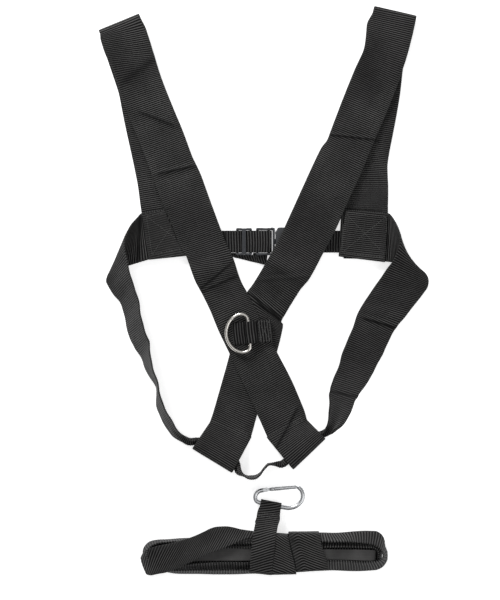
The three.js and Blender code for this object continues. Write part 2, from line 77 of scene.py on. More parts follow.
# ---- tables: strap edges in millimetres ---------------------------------------------------------
# Shoulder straps: left edge x, y, right edge x, y, height of the middle plane. Side strap: upper edge
# x, y, z, lower edge x, y, z, thickness. Pull strap: outer edge x, y, z, inner edge x, y, z.
LEFT_FRONT = [[6.5, -171.1, 49.9, -147.7, 3.4],
    [3.7, -165.3, 48.2, -141.8, 3.5],
    [1.0, -159.3, 46.3, -135.9, 3.6],
    [-1.6, -153.4, 44.0, -130.2, 3.6],
    [-4.2, -147.4, 41.7, -124.5, 3.7],
    [-6.9, -141.4, 39.3, -118.8, 3.8],
    [-10.5, -133.6, 35.7, -110.2, 3.8],
    [-14.1, -125.7, 31.8, -101.7, 3.8],
    [-17.7, -117.9, 27.7, -93.4, 3.7],
    [-21.3, -110.0, 23.4, -85.2, 3.7],
    [-24.9, -102.1, 19.0, -77.0, 3.7],
    [-27.6, -96.2, 16.1, -71.4, 3.7],
    [-30.3, -90.3, 13.3, -65.8, 3.7],
    [-33.0, -84.3, 10.5, -60.2, 3.6],
    [-35.7, -78.4, 7.7, -54.6, 3.6],
    [-38.4, -72.4, 4.9, -49.0, 3.6],
    [-40.8, -67.4, 2.6, -44.4, 3.6],
    [-43.3, -62.3, 0.3, -39.8, 3.7],
    [-45.8, -57.2, -2.0, -35.2, 3.7],
    [-48.2, -52.2, -4.3, -30.6, 3.8],
    [-50.6, -47.1, -6.6, -26.0, 3.8],
    [-54.0, -39.1, -9.9, -19.3, 4.1],
    [-57.2, -31.1, -13.2, -12.7, 4.4],
    [-60.5, -23.1, -16.6, -6.1, 4.6],
    [-64.2, -15.2, -20.0, 0.5, 4.9],
    [-68.0, -7.5, -23.7, 6.9, 5.2],
    [-71.2, -1.3, -25.9, 11.8, 5.5],
    [-74.7, 4.8, -27.8, 16.9, 6.2],
    [-77.8, 11.0, -29.5, 22.0, 7.1],
    [-80.3, 17.5, -31.0, 27.2, 7.8],
    [-82.6, 24.1, -32.7, 32.4, 8.1],
    [-83.5, 27.0, -34.2, 36.6, 8.1],
    [-84.5, 29.9, -35.9, 40.8, 8.2],
    [-85.6, 32.8, -37.9, 44.9, 8.2],
    [-86.6, 35.7, -39.9, 48.9, 8.3],
    [-87.8, 38.6, -41.8, 53.0, 8.3],
    [-93.3, 46.2, -45.5, 62.0, 8.2],
    [-97.0, 55.0, -49.0, 71.1, 8.2],
    [-100.4, 63.9, -52.4, 80.2, 8.1],
    [-103.8, 72.8, -55.7, 89.3, 8.1],
    [-107.2, 81.6, -59.1, 98.4, 8.0],
    [-111.5, 91.7, -62.9, 109.0, 7.8],
    [-115.7, 101.7, -66.7, 119.6, 7.6],
    [-119.6, 111.9, -70.5, 130.2, 7.4],
    [-123.4, 122.2, -75.1, 140.5, 7.2],
    [-127.2, 132.4, -80.1, 150.6, 7.0],
    [-131.4, 143.7, -84.3, 161.5, 6.8],
    [-135.6, 155.0, -88.3, 172.6, 6.6],
    [-140.0, 166.2, -92.5, 183.6, 6.4],
    [-144.6, 177.4, -97.0, 194.4, 6.2],
    [-149.1, 188.6, -101.6, 205.3, 6.0],
    [-152.2, 196.5, -104.6, 212.8, 6.0],
    [-155.3, 204.4, -107.7, 220.3, 6.1],
    [-158.4, 212.3, -110.7, 227.9, 6.1],
    [-161.3, 220.2, -113.6, 235.4, 6.2],
    [-163.9, 228.3, -116.4, 243.1, 6.2],
    [-165.8, 235.2, -118.0, 247.8, 6.5],
    [-167.7, 242.1, -119.5, 252.6, 6.8],
    [-170.0, 248.9, -121.0, 257.4, 7.2],
    [-173.1, 255.4, -122.4, 262.2, 7.5],
    [-176.6, 261.6, -123.8, 267.0, 7.8],
    [-178.8, 266.1, -125.7, 273.0, 7.9],
    [-180.7, 270.8, -127.5, 279.0, 8.0],
    [-182.3, 275.6, -129.4, 285.0, 8.2],
    [-183.8, 280.5, -131.3, 290.9, 8.3],
    [-185.1, 285.3, -133.2, 296.9, 8.4]]
RIGHT_FRONT = [[-61.1, -150.4, -15.5, -171.1, 3.4],
    [-59.9, -147.2, -14.4, -168.0, 2.9],
    [-58.8, -144.0, -13.4, -164.9, 2.4],
    [-57.7, -140.8, -12.4, -161.7, 2.0],
    [-56.7, -137.5, -11.5, -158.5, 1.5],
    [-54.1, -128.7, -8.6, -147.5, 1.4],
    [-51.6, -119.9, -5.4, -136.7, 1.4],
    [-49.1, -111.1, -1.9, -126.0, 1.4],
    [-46.6, -102.2, 1.7, -115.2, 1.3],
    [-44.5, -94.8, 4.4, -107.0, 1.3],
    [-42.4, -87.5, 7.0, -98.7, 1.2],
    [-40.4, -80.0, 9.6, -90.4, 1.2],
    [-38.4, -72.6, 12.2, -82.1, 1.2],
    [-36.3, -64.4, 14.5, -74.3, 1.2],
    [-34.2, -56.1, 16.6, -66.4, 1.2],
    [-32.1, -47.8, 18.7, -58.5, 1.2],
    [-30.0, -39.6, 20.6, -50.6, 1.2],
    [-27.6, -30.1, 21.4, -46.6, 1.3],
    [-25.2, -20.6, 22.2, -42.6, 1.4],
    [-22.5, -11.2, 22.4, -38.6, 1.4],
    [-18.5, -2.3, 20.6, -35.9, 1.5],
    [-13.5, 4.8, 25.7, -26.2, 2.4],
    [-8.7, 12.1, 31.2, -16.7, 4.2],
    [-4.2, 19.5, 37.0, -7.4, 6.1],
    [0.2, 27.0, 43.0, 1.8, 7.0],
    [1.5, 29.4, 44.7, 3.8, 7.6],
    [2.9, 31.7, 46.5, 5.8, 9.0],
    [4.2, 34.1, 48.2, 7.8, 10.3],
    [5.6, 36.4, 50.0, 9.8, 10.9],
    [8.7, 41.8, 53.6, 15.1, 11.1],
    [11.7, 47.3, 56.8, 20.7, 11.4],
    [14.7, 52.7, 59.9, 26.4, 11.6],
    [17.6, 58.3, 62.8, 32.1, 11.8],
    [20.5, 64.1, 65.8, 38.1, 11.8],
    [23.3, 70.0, 69.0, 44.0, 11.8],
    [26.0, 76.0, 72.2, 49.8, 11.8],
    [28.7, 82.0, 75.4, 55.7, 11.8],
    [32.4, 90.1, 79.8, 64.1, 11.4],
    [36.1, 98.2, 83.9, 72.6, 10.5],
    [39.8, 106.4, 87.8, 81.3, 9.6],
    [43.5, 114.6, 91.5, 90.0, 9.2],
    [48.0, 124.5, 96.0, 99.8, 8.7],
    [52.5, 134.4, 100.5, 109.6, 8.2],
    [57.1, 144.3, 105.0, 119.4, 7.7],
    [61.8, 154.2, 109.5, 129.3, 7.2],
    [66.3, 162.7, 113.8, 139.2, 7.0],
    [72.2, 170.5, 118.0, 149.1, 6.7],
    [75.8, 179.5, 122.0, 159.1, 6.4],
    [79.2, 188.6, 126.1, 169.1, 6.2],
    [82.3, 196.8, 129.5, 177.0, 6.2],
    [85.4, 204.9, 132.8, 185.0, 6.2],
    [88.5, 213.1, 136.2, 192.9, 6.2],
    [91.7, 221.2, 139.6, 200.8, 6.2],
    [94.8, 229.0, 142.6, 208.0, 6.4],
    [97.9, 236.7, 145.6, 215.2, 6.5],
    [101.0, 244.3, 148.4, 222.5, 6.6],
    [104.2, 252.0, 151.1, 229.8, 6.8],
    [106.9, 257.8, 153.7, 237.1, 7.0],
    [109.7, 263.6, 156.2, 244.4, 7.3],
    [112.4, 269.4, 158.7, 251.8, 7.6],
    [114.4, 275.5, 161.2, 259.1, 7.8],
    [115.6, 282.1, 163.4, 266.4, 8.0],
    [116.3, 288.7, 165.5, 273.7, 8.1],
    [116.9, 295.4, 167.3, 281.0, 8.2],
    [117.5, 302.0, 169.2, 288.4, 8.4]]
LEFT_BACK = [[-178.2, 264.7, -130.7, 280.1, 1.0],
    [-173.6, 251.0, -125.7, 264.4, 1.0],
    [-169.0, 237.4, -120.4, 248.8, 1.0],
    [-164.7, 223.7, -115.6, 233.0, 1.0],
    [-161.4, 207.3, -111.9, 216.8, 1.0],
    [-158.2, 191.0, -108.7, 200.4, 1.0],
    [-154.7, 174.7, -105.6, 184.0, 1.0],
    [-150.5, 155.9, -101.6, 165.1, 1.0],
    [-146.5, 137.1, -97.6, 146.3, 1.0],
    [-142.9, 118.3, -93.8, 127.4, 1.0],
    [-141.5, 108.0, -92.0, 117.3, 1.0],
    [-140.2, 97.7, -90.5, 107.3, 1.0],
    [-138.7, 87.4, -88.9, 97.2, 1.0],
    [-135.9, 70.7, -86.2, 80.1, 1.0],
    [-133.0, 54.0, -83.5, 63.0, 1.0],
    [-130.1, 37.3, -80.7, 45.9, 1.0]]
RIGHT_BACK = [[116.5, 280.6, 162.9, 268.4, 1.0],
    [112.8, 263.9, 159.4, 253.6, 1.0],
    [109.1, 247.2, 157.6, 238.4, 1.0],
    [105.6, 230.5, 155.8, 223.2, 1.0],
    [103.5, 218.4, 153.8, 210.6, 1.0],
    [101.7, 206.2, 151.6, 198.0, 1.0],
    [99.9, 194.0, 149.2, 185.4, 1.0],
    [97.7, 182.7, 147.1, 174.5, 1.0],
    [95.3, 171.3, 144.9, 163.6, 1.0],
    [93.6, 159.8, 142.9, 152.7, 1.0],
    [92.7, 145.8, 141.5, 140.9, 1.0],
    [92.2, 131.8, 141.8, 129.1, 1.0],
    [91.9, 117.7, 142.3, 117.2, 1.0],
    [91.6, 107.8, 142.3, 107.3, 1.0],
    [91.4, 97.9, 142.1, 97.3, 1.0],
    [91.3, 88.1, 142.1, 87.4, 1.0],
    [91.3, 70.8, 142.2, 69.9, 1.0],
    [91.3, 53.5, 142.4, 52.5, 1.0],
    [91.3, 36.2, 142.6, 35.1, 1.0]]
LEFT_TOP = [[-187.5, 295.8], [-141.6, 314.8]]
RIGHT_TOP = [[126.1, 323.0], [174.4, 312.2]]
LEFT_HEM = [[34.0, -204.0], [70.6, -168.5]]
RIGHT_HEM = [[-80.9, -179.8], [-35.7, -207.9]]
SIDE_LEFT = [[-86.9, 95.3, 5.2, -82.3, 45.2, 5.2, 2],
    [-113.0, 91.9, 5.2, -108.5, 37.2, 5.2, 2],
    [-137.7, 88.1, 5.2, -129.6, 34.9, 5.2, 2],
    [-143.0, 83.2, 9.5, -148.4, 29.3, 3.8, 2],
    [-150.5, 72.1, 17.5, -166.7, 23.7, 2.6, 2],
    [-156.7, 55.5, 25.5, -177.4, 16.8, 1.9, 2],
    [-156.0, 43.0, 30.5, -178.6, 10.6, 1.4, 2],
    [-152.4, 28.8, 35, -176.1, 4.3, 1.4, 2],
    [-148.4, 14.7, 38.6, -170.2, -4.8, 1.4, 2],
    [-144.9, 3.5, 41, -163.9, -13.4, 1.4, 2],
    [-141.1, -10.0, 43.4, -158.8, -24.8, 1.4, 2],
    [-137.0, -29.0, 45, -155.0, -41.8, 1.4, 2],
    [-132.9, -45.2, 45.6, -151.0, -58.4, 1.4, 2],
    [-128.2, -62.5, 47, -138.9, -76.0, 1.4, 2],
    [-124.0, -86.0, 48.8, -130.5, -97.7, 1.4, 2],
    [-119.3, -103.3, 49.5, -120.9, -113.1, 1.4, 2],
    [-114.4, -121.3, 47, -120.9, -130.7, 1.4, 2],
    [-104.6, -145.4, 35, -112.6, -152.9, 1.4, 2.4],
    [-93.7, -161.9, 22, -100.1, -167.7, 1.6, 3.2],
    [-83.7, -170.1, 12.5, -87.0, -175.1, 2.4, 6.5]]
SIDE_RIGHT = [[70.4, -160.2, 14, 75.4, -164.6, 2.2, 6.0],
    [72.8, -148.7, 26, 85.6, -157.5, 1.6, 3.6],
    [73.6, -127.9, 37.5, 98.7, -141.5, 1.4, 2.3],
    [74.6, -112.6, 39, 105.0, -125.0, 1.4, 2],
    [77.8, -101.5, 38, 111.8, -113.6, 1.4, 2],
    [83.0, -88.6, 35.5, 119.8, -103.4, 1.4, 2],
    [89.9, -68.5, 30, 130.1, -84.0, 1.4, 2],
    [100.2, -43.9, 19.5, 140.4, -63.5, 1.4, 2],
    [108.1, -24.1, 10.5, 150.9, -43.4, 1.4, 2],
    [113.7, -14.5, 9, 161.4, -30.5, 1.4, 2],
    [121.5, -2.6, 8, 172.2, -16.8, 1.4, 2],
    [131.9, 12.2, 10.5, 182.5, -3.7, 1.4, 2],
    [139.7, 23.8, 13.5, 187.4, 4.9, 1.4, 2],
    [145.1, 31.4, 16, 188.3, 11.1, 1.8, 2],
    [151.5, 44.3, 21, 183.6, 20.5, 2.1, 2],
    [155.0, 56.1, 23.5, 173.8, 24.8, 2.6, 2],
    [153.6, 67.5, 19, 161.3, 28.8, 3.2, 2],
    [148.8, 79.7, 11.5, 152.1, 31.0, 4.2, 2],
    [142.1, 87.7, 5.2, 145.0, 31.9, 5.2, 2],
    [115.6, 89.8, 5.2, 114.5, 35.1, 5.2, 2],
    [88.7, 92.6, 5.2, 85.6, 38.6, 5.2, 2]]
SIDE_BOTTOM = [[-28.3, -204.8, 15, 1.6, 6],
    [-22.6, -209.5, 22, 1.4, 3],
    [-15.8, -212.2, 28, 1.2, 2.2],
    [-9.0, -211.5, 32, 1.2, 2],
    [-3.3, -207.9, 33, 1.2, 2],
    [1.2, -202.3, 31, 1.2, 2],
    [6.3, -197.1, 26, 1.2, 2.2],
    [13.2, -196.8, 17, 1.4, 4],
    [20.6, -197.8, 11.5, 2.4, 8]]
CREASE_L = [[38.2, -135.1, 14.7, -180.7], [-141.4, 202.7, -101.6, 186.8], [-119.8, 132.2, -77.7, 141.3], [-73.2, 0.3, -34.5, 32.1], [-70.9, -2.0, -29.4, 17.3]]
CREASE_R = [[-8.4, -13.4, 22.8, -35.7], [73.5, 176.6, 128.1, 170.9], [-8.4, 10.5, 53.0, 15.1], [-17.9, -2.4, 22.9, -32.7]]
CHEST_TAIL = [[-37.4, 39.5, -37.1, 42.6],
    [-32.3, 37.0, -31.4, 42.6],
    [-31.2, 36.8, -30.2, 40.3],
    [-22.0, 34.6, -20.9, 40.2],
    [-13.4, 32.4, -12.6, 40.2],
    [-12.2, 32.2, -11.4, 42.6],
    [-9.0, 31.4, -8.1, 42.6],
    [-7.9, 31.2, -7.0, 40.2],
    [-1.5, 29.6, -0.4, 40.2],
    [3.3, 28.5, 4.8, 40.2]]
PATCH_L = [[-138.0, 86.0, -112.5, 90.8, 7.0], [-135.4, 69.6, -105.1, 74.2, 7.0], [-132.5, 52.6, -97.5, 56.6, 7.0], [-129.6, 34.6, -88.0, 38.9, 7.0]]
PATCH_R = [[93.9, 91.0, 141.2, 86.5, 7.0], [91.2, 74.2, 140.4, 69.1, 7.0], [88.5, 57.1, 139.4, 51.4, 7.0], [85.6, 38.3, 138.3, 31.8, 7.0]]
PATCH_TOP_L = [-139.1, 87.3, -110.3, 92.7]
PATCH_TOP_R = [92.4, 93.0, 142.9, 88.2]
HANK = [[-110.8, -291.1, 3.5, -108.0, -297.5, 17],
    [-72.1, -285.5, 3, -71.8, -293.3, 19.5],
    [-15.2, -284.4, 3, -15.2, -291.5, 20],
    [41.7, -282.1, 3, 41.3, -291.0, 20],
    [87.3, -281.5, 3, 86.6, -290.7, 20.5],
    [116.9, -282.1, 3, 118.2, -291.0, 20.5],
    [126.0, -283.8, 3, 125.0, -291.8, 20.5],
    [132.3, -288.3, 3, 128.4, -294.3, 20.5],
    [134.5, -295.2, 3, 129.9, -297.7, 20.3],
    [134.2, -303.1, 3, 130.0, -302.3, 19.5],
    [131.1, -311.1, 3, 127.5, -307.3, 16],
    [121.4, -314.6, 2.8, 118.5, -310.9, 14.5],
    [87.3, -315.1, 2.8, 86.8, -309.9, 14],
    [-15.2, -314.3, 2.8, -15.2, -310.9, 14],
    [-94.9, -314.3, 2.8, -92.3, -312.6, 14],
    [-114.3, -314.0, 2.8, -110.4, -308.1, 14],
    [-126.8, -309.4, 2.8, -120.6, -304.6, 15],
    [-131.9, -302.6, 2.8, -124.5, -300.9, 17],
    [-130.2, -293.5, 2.8, -123.2, -295.6, 19],
    [-122.2, -287.8, 2.8, -117.0, -290.4, 20.5],
    [-104.0, -283.9, 2.6, -101.1, -288.0, 21.5],
    [-72.1, -281.6, 2.6, -71.7, -287.7, 22],
    [-15.2, -279.3, 2.6, -15.2, -286.2, 22],
    [41.7, -277.0, 2.6, 41.3, -284.5, 22],
    [66.8, -276.3, 2.6, 67.3, -284.3, 22.2],
    [86.2, -276.1, 2.6, 92.1, -284.5, 22.3],
    [105.5, -274.8, 2.6, 106.8, -285.4, 22.3],
    [118.0, -274.0, 2.6, 117.0, -286.3, 22.3],
    [126.6, -274.0, 2.6, 123.8, -287.9, 22.3],
    [133.4, -276.9, 2.6, 129.0, -290.5, 22.3],
    [137.1, -282.7, 2.6, 132.2, -293.8, 22.3],
    [138.1, -291.2, 2.6, 134.4, -296.9, 22.3],
    [140.6, -298.6, 2.6, 135.1, -300.6, 22.0],
    [140.8, -305.5, 2.4, 134.0, -303.3, 21.8],
    [137.6, -312.7, 2.4, 131.5, -305.6, 21.8],
    [132.3, -317.1, 2.4, 126.1, -306.7, 21.8],
    [122.6, -318.9, 2.4, 118.1, -306.8, 22],
    [96.9, -319.3, 2.4, 95.5, -306.1, 22],
    [75.6, -318.8, 2.4, 75.2, -305.3, 22],
    [41.7, -319.2, 2.4, 41.3, -306.7, 22],
    [-15.2, -318.4, 2.4, -15.2, -307.6, 22],
    [-58.5, -318.0, 2.4, -58.1, -308.1, 21.8],
    [-83.5, -317.7, 2.4, -83.0, -310.1, 20.5],
    [-101.8, -318.9, 2.4, -100.1, -313.0, 18],
    [-120.0, -320.1, 2.2, -117.1, -314.0, 16.5],
    [-130.2, -317.5, 2.2, -124.5, -310.1, 16.5],
    [-136.7, -308.4, 2.2, -130.6, -302.5, 18],
    [-136.7, -297.5, 2.2, -131.1, -297.2, 20],
    [-131.4, -288.2, 2.2, -127.9, -290.6, 21.5],
    [-122.3, -284.8, 2.2, -120.8, -286.5, 22.3],
    [-106.3, -283.8, 2.2, -105.6, -284.7, 22.6],
    [-85.8, -282.8, 2.2, -85.2, -283.9, 22.6]]
FLAT_LAYER = [[-99.1, -293.7, 14, -96.8, -308.7, 14],
    [-87.7, -292.6, 16.6, -84.3, -307.2, 16.6],
    [-60.5, -290.7, 17.5, -60.5, -306.3, 17.5],
    [-32.2, -289.8, 17.8, -32.2, -306.3, 17.8],
    [30.1, -291.2, 18, 30.1, -306.0, 18],
    [73.1, -293.1, 18, 73.1, -305.0, 18.2],
    [103.6, -293.4, 18, 103.6, -305.7, 18.2],
    [120.6, -293.8, 17.8, 120.6, -306.3, 18],
    [125.8, -294.4, 16.5, 125.5, -306.2, 16.5],
    [127.3, -295.3, 12.5, 126.9, -306.3, 12.5],
    [127.9, -296.3, 6, 127.4, -306.8, 6]]
LOW_LAYER = [[-125.2, -317.2, 14, -121.6, -315.0, 4.0],
    [-111.5, -317.4, 16, -110.8, -319.9, 3.2],
    [-94.5, -316.9, 16.5, -94.9, -322.5, 2.4],
    [-71.8, -316.6, 17, -72.2, -322.7, 2],
    [-54.8, -316.6, 17, -55.1, -323.2, 2],
    [-32.2, -316.6, 17, -32.3, -323.1, 2],
    [-15.2, -316.3, 17, -15.2, -322.4, 2],
    [2.9, -316.2, 16, 3.0, -322.3, 2]]
TOP_LAYER = [[5.2, -278.8, 12, -1.6, -283.6, 20.5],
    [-3.9, -276.4, 11, -9.0, -280.4, 22],
    [-11.8, -273.9, 11, -16.9, -280.2, 23.2],
    [-19.2, -272.4, 11, -26.5, -283.4, 24.0],
    [-26.5, -270.9, 12, -36.6, -288.0, 24.3],
    [-35.0, -268.6, 14, -49.1, -293.1, 24.5],
    [-43.5, -267.3, 16, -60.4, -297.3, 24.6],
    [-52.5, -267.5, 18.5, -69.4, -301.4, 24.7],
    [-59.3, -269.0, 21, -77.3, -305.0, 24.8],
    [-67.1, -272.5, 23.5, -87.4, -309.5, 24.6],
    [-78.4, -277.5, 24.6, -99.3, -315.3, 23.6],
    [-89.7, -281.5, 24.8, -110.2, -319.2, 21.0],
    [-101.0, -284.7, 24.8, -119.8, -321.1, 19.0],
    [-112.3, -287.2, 24.6, -127.9, -323.0, 16.5],
    [-121.3, -289.2, 24.0, -132.5, -322.5, 12],
    [-127.9, -291.2, 22.8, -135.9, -316.2, 8],
    [-132.2, -293.6, 19.5, -138.2, -309.1, 5.5],
    [-134.5, -295.6, 14, -138.9, -304.2, 4]]

# ---- materials ------------------------------------------------------------------------------------
def new_material(name):
    m = bpy.data.materials.new(name)
    m.use_nodes = True
    t = m.node_tree
    for n in list(t.nodes):
        t.nodes.remove(n)
    out = t.nodes.new("ShaderNodeOutputMaterial")
    p = t.nodes.new("ShaderNodeBsdfPrincipled")
    t.links.new(p.outputs[0], out.inputs[0])
    return m, t, p


class Net:
    """Short names for the nodes used below."""

    def __init__(self, tree):
        self.t = tree

    def node(self, kind, **props):
        n = self.t.nodes.new(kind)
        for k, v in props.items():
            setattr(n, k, v)
        return n

    def put(self, socket, value):
        if hasattr(value, "is_output"):
            self.t.links.new(value, socket)
        else:
            socket.default_value = value

    def math(self, op, a, b=0.0, c=0.0, clamp=False):
        n = self.node("ShaderNodeMath", operation=op, use_clamp=clamp)
        for s, v in zip(n.inputs, (a, b, c)):
            self.put(s, v)
        return n.outputs[0]

    def noise(self, vector, scale, detail=3.0, rough=0.55):
        n = self.node("ShaderNodeTexNoise")
        self.put(n.inputs["Vector"], vector)
        n.inputs["Scale"].default_value = scale
        n.inputs["Detail"].default_value = detail
        n.inputs["Roughness"].default_value = rough
        return n.outputs[0]

    def ramp(self, value, stops):
        n = self.node("ShaderNodeValToRGB")
        self.put(n.inputs[0], value)
        e = n.color_ramp.elements
        while len(e) < len(stops):
            e.new(0.5)
        for k, (at, c) in zip(e, stops):
            k.position = at
            k.color = (*c, 1) if hasattr(c, "__len__") else (c, c, c, 1)
        return n.outputs[0]

    def mix(self, f, a, b, blend="MIX"):
        n = self.node("ShaderNodeMix", data_type="RGBA", blend_type=blend)
        self.put(n.inputs[0], f)
        for s, v in ((n.inputs[6], a), (n.inputs[7], b)):
            self.put(s, (*v, 1) if isinstance(v, tuple) and len(v) == 3 else v)
        return n.outputs[2]

    def scaled(self, vector, x, y, z=1.0):
        n = self.node("ShaderNodeVectorMath", operation="MULTIPLY")
        self.put(n.inputs[0], vector)
        n.inputs[1].default_value = (x, y, z)
        return n.outputs[0]


def webbing_material(name, pitch, yarn, tone=0.021, plain=False, seed=0.0, half_width=0.025):
    """Ribbed polyester webbing. UV is metres across (from the middle) and along the strap."""
    m, t, p = new_material(name)
    n = Net(t)
    uv = n.node("ShaderNodeTexCoord").outputs["UV"]
    obj = n.node("ShaderNodeTexCoord").outputs["Object"]
    sep = n.node("ShaderNodeSeparateXYZ")
    t.links.new(uv, sep.inputs[0])
    u, v = sep.outputs[0], sep.outputs[1]
    # ribs: 1 on the crown, 0 in the groove
    rib = n.math("COSINE", n.math("MULTIPLY", v, 2 * math.pi / pitch))
    rib = n.math("MULTIPLY_ADD", rib, 0.5, 0.5)
    crown = n.math("POWER", rib, 2.6)
    # warp yarns: they pass over one rib and under the next, so every second yarn is lifted
    row = n.math("FLOOR", n.math("ADD", n.math("DIVIDE", v, pitch), 0.5))
    shift = n.math("MULTIPLY", n.math("MODULO", n.math("ABSOLUTE", row), 2.0), math.pi)
    wobble = n.math("MULTIPLY", n.noise(n.scaled(uv, 1, 1), 260.0, 2.0), 1.6)
    yarns = n.math("SINE", n.math("ADD", n.math("ADD", n.math("MULTIPLY", u, math.pi / yarn), shift), wobble))
    yarn_h = n.math("MULTIPLY_ADD", yarns, 0.5, 0.5)
    fibre = n.noise(n.scaled(uv, 9000.0, 1500.0), 1.0, 2.0, 0.6)
    fine = n.noise(n.scaled(uv, 2600.0, 2600.0), 1.0, 3.0, 0.6)
    broad = n.noise(n.scaled(uv, 1, 1), 16.0 + seed, 3.0, 0.55)
    streak = n.noise(n.scaled(uv, 900.0, 14.0), 1.0, 2.0, 0.5)
    # colour: near black, with painted shade in the rib grooves and a painted highlight on the rib crowns
    low = tuple(tone * k for k in (0.03, 0.03, 0.032))
    high = tuple(tone * k for k in (5.6, 5.5, 5.45))
    colour = n.mix(crown if not plain else n.math("MULTIPLY_ADD", crown, 0.15, 0.50), low, high)
    # painted highlight: the lifted yarns are made lighter than the yarns beside them
    bright = n.mix(1.0, colour, n.ramp(yarn_h, [(0.0, 0.80), (1.0, 1.28)]), "MULTIPLY")
    # painted shade in creases: the fold attribute written by strap() darkens the colour down to 3 %
    fold = n.node("ShaderNodeAttribute", attribute_name="fold").outputs["Fac"]
    colour = n.mix(1.0, bright, n.ramp(fold, [(0.0, 1.0), (1.0, 0.03)]), "MULTIPLY")
    shade = n.ramp(broad, [(0.30, 0.62), (0.50, 1.0), (0.70, 1.42)])
    colour = n.mix(1.0, colour, shade, "MULTIPLY")
    lines = n.ramp(streak, [(0.3, 0.85), (0.7, 1.15)])
    colour = n.mix(0.7, colour, lines, "MULTIPLY")
    speck = n.ramp(fine, [(0.62, 0.0), (0.80, 1.0)])
    colour = n.mix(n.math("MULTIPLY", speck, 0.10), colour, (0.16, 0.155, 0.15))
    # lighter, slightly fuzzy selvedges
    edge = n.math("DIVIDE", n.math("ABSOLUTE", u), half_width)
    edge = n.math("MULTIPLY", n.math("SUBTRACT", edge, 0.965, clamp=True), 26.0, clamp=True)
    colour = n.mix(n.math("MULTIPLY", edge, 0.35), colour, (tone * 2.1, tone * 2.1, tone * 2.05))
    t.links.new(colour, p.inputs["Base Color"])
    rough = n.math("ADD", n.math("MULTIPLY", broad, 0.14), n.math("MULTIPLY_ADD", yarn_h, -0.06, 0.62))
    t.links.new(rough, p.inputs["Roughness"])
    p.inputs["Specular IOR Level"].default_value = 0.14
    p.inputs["Sheen Weight"].default_value = 0.03
    p.inputs["Sheen Roughness"].default_value = 0.45
    p.inputs["Sheen Tint"].default_value = (0.85, 0.86, 0.9, 1)
    height = n.math("ADD", n.math("MULTIPLY", n.math("MULTIPLY", yarn_h, crown), 0.62), n.math("MULTIPLY", fibre, 0.22))
    height = n.math("ADD", height, n.math("MULTIPLY", fine, 0.16))
    b = n.node("ShaderNodeBump")
    b.inputs["Strength"].default_value = 0.55
    b.inputs["Distance"].default_value = 0.00016
    t.links.new(height, b.inputs["Height"])
    t.links.new(b.outputs[0], p.inputs["Normal"])
    return m


def plastic_material(name, tone=(0.030, 0.032, 0.037)):
    m, t, p = new_material(name)
    n = Net(t)
    obj = n.node("ShaderNodeTexCoord").outputs["Object"]
    grain = n.noise(n.scaled(obj, 2600, 2600, 2600), 1.0, 2.0, 0.5)
    broad = n.noise(obj, 90.0, 3.0)
    flow = n.noise(n.scaled(obj, 60, 420, 60), 1.0, 2.0)
    shade = n.ramp(broad, [(0.3, 0.82), (0.7, 1.22)])
    colour = n.mix(1.0, tone, shade, "MULTIPLY")
    scuff = n.ramp(n.noise(n.scaled(obj, 500, 900, 500), 1.0, 4.0, 0.7), [(0.60, 0.0), (0.74, 1.0)])
    geo = n.node("ShaderNodeNewGeometry")
    worn = n.ramp(geo.outputs["Pointiness"], [(0.52, 0.0), (0.60, 1.0)])
    colour = n.mix(n.math("MULTIPLY", worn, 0.45), colour, (0.085, 0.088, 0.095))
    colour = n.mix(n.math("MULTIPLY", scuff, 0.12), colour, (0.11, 0.11, 0.115))
    t.links.new(colour, p.inputs["Base Color"])
    r = n.math("ADD", n.math("MULTIPLY", flow, 0.10), n.math("MULTIPLY_ADD", grain, 0.10, 0.28))
    r = n.math("ADD", r, n.math("MULTIPLY", scuff, 0.15))
    t.links.new(r, p.inputs["Roughness"])
    p.inputs["Specular IOR Level"].default_value = 0.55
    b = n.node("ShaderNodeBump")
    b.inputs["Strength"].default_value = 0.25
    b.inputs["Distance"].default_value = 0.00006
    t.links.new(grain, b.inputs["Height"])
    t.links.new(b.outputs[0], p.inputs["Normal"])
    return m


def metal_material(name, tone, rough, streak_axis=(1, 1, 1), warm=0.0):
    m, t, p = new_material(name)
    n = Net(t)
    obj = n.node("ShaderNodeTexCoord").outputs["Object"]
    lines = n.noise(n.scaled(obj, *[900 * s for s in streak_axis]), 1.0, 3.0, 0.6)
    cloud = n.noise(obj, 220.0, 3.0, 0.6)
    pits = n.noise(obj, 2600.0, 2.0, 0.6)
    shade = n.ramp(cloud, [(0.30, 0.86), (0.55, 1.0), (0.80, 1.04)])
    colour = n.mix(1.0, tone, shade, "MULTIPLY")
    spot = n.ramp(n.noise(obj, 700.0, 4.0, 0.7), [(0.66, 0.0), (0.76, 1.0)])
    colour = n.mix(n.math("MULTIPLY", spot, 0.30), colour, (0.30 + warm, 0.27, 0.24))
    t.links.new(colour, p.inputs["Base Color"])
    p.inputs["Metallic"].default_value = 1.0
    r = n.math("ADD", n.math("MULTIPLY", lines, 0.12), n.math("MULTIPLY_ADD", cloud, 0.10, rough - 0.10))
    r = n.math("ADD", r, n.math("MULTIPLY", spot, 0.2))
    t.links.new(r, p.inputs["Roughness"])
    b = n.node("ShaderNodeBump")
    b.inputs["Strength"].default_value = 0.18
    b.inputs["Distance"].default_value = 0.00004
    t.links.new(n.math("ADD", n.math("MULTIPLY", lines, 0.5), n.math("MULTIPLY", pits, 0.5)), b.inputs["Height"])
    t.links.new(b.outputs[0], p.inputs["Normal"])
    return m


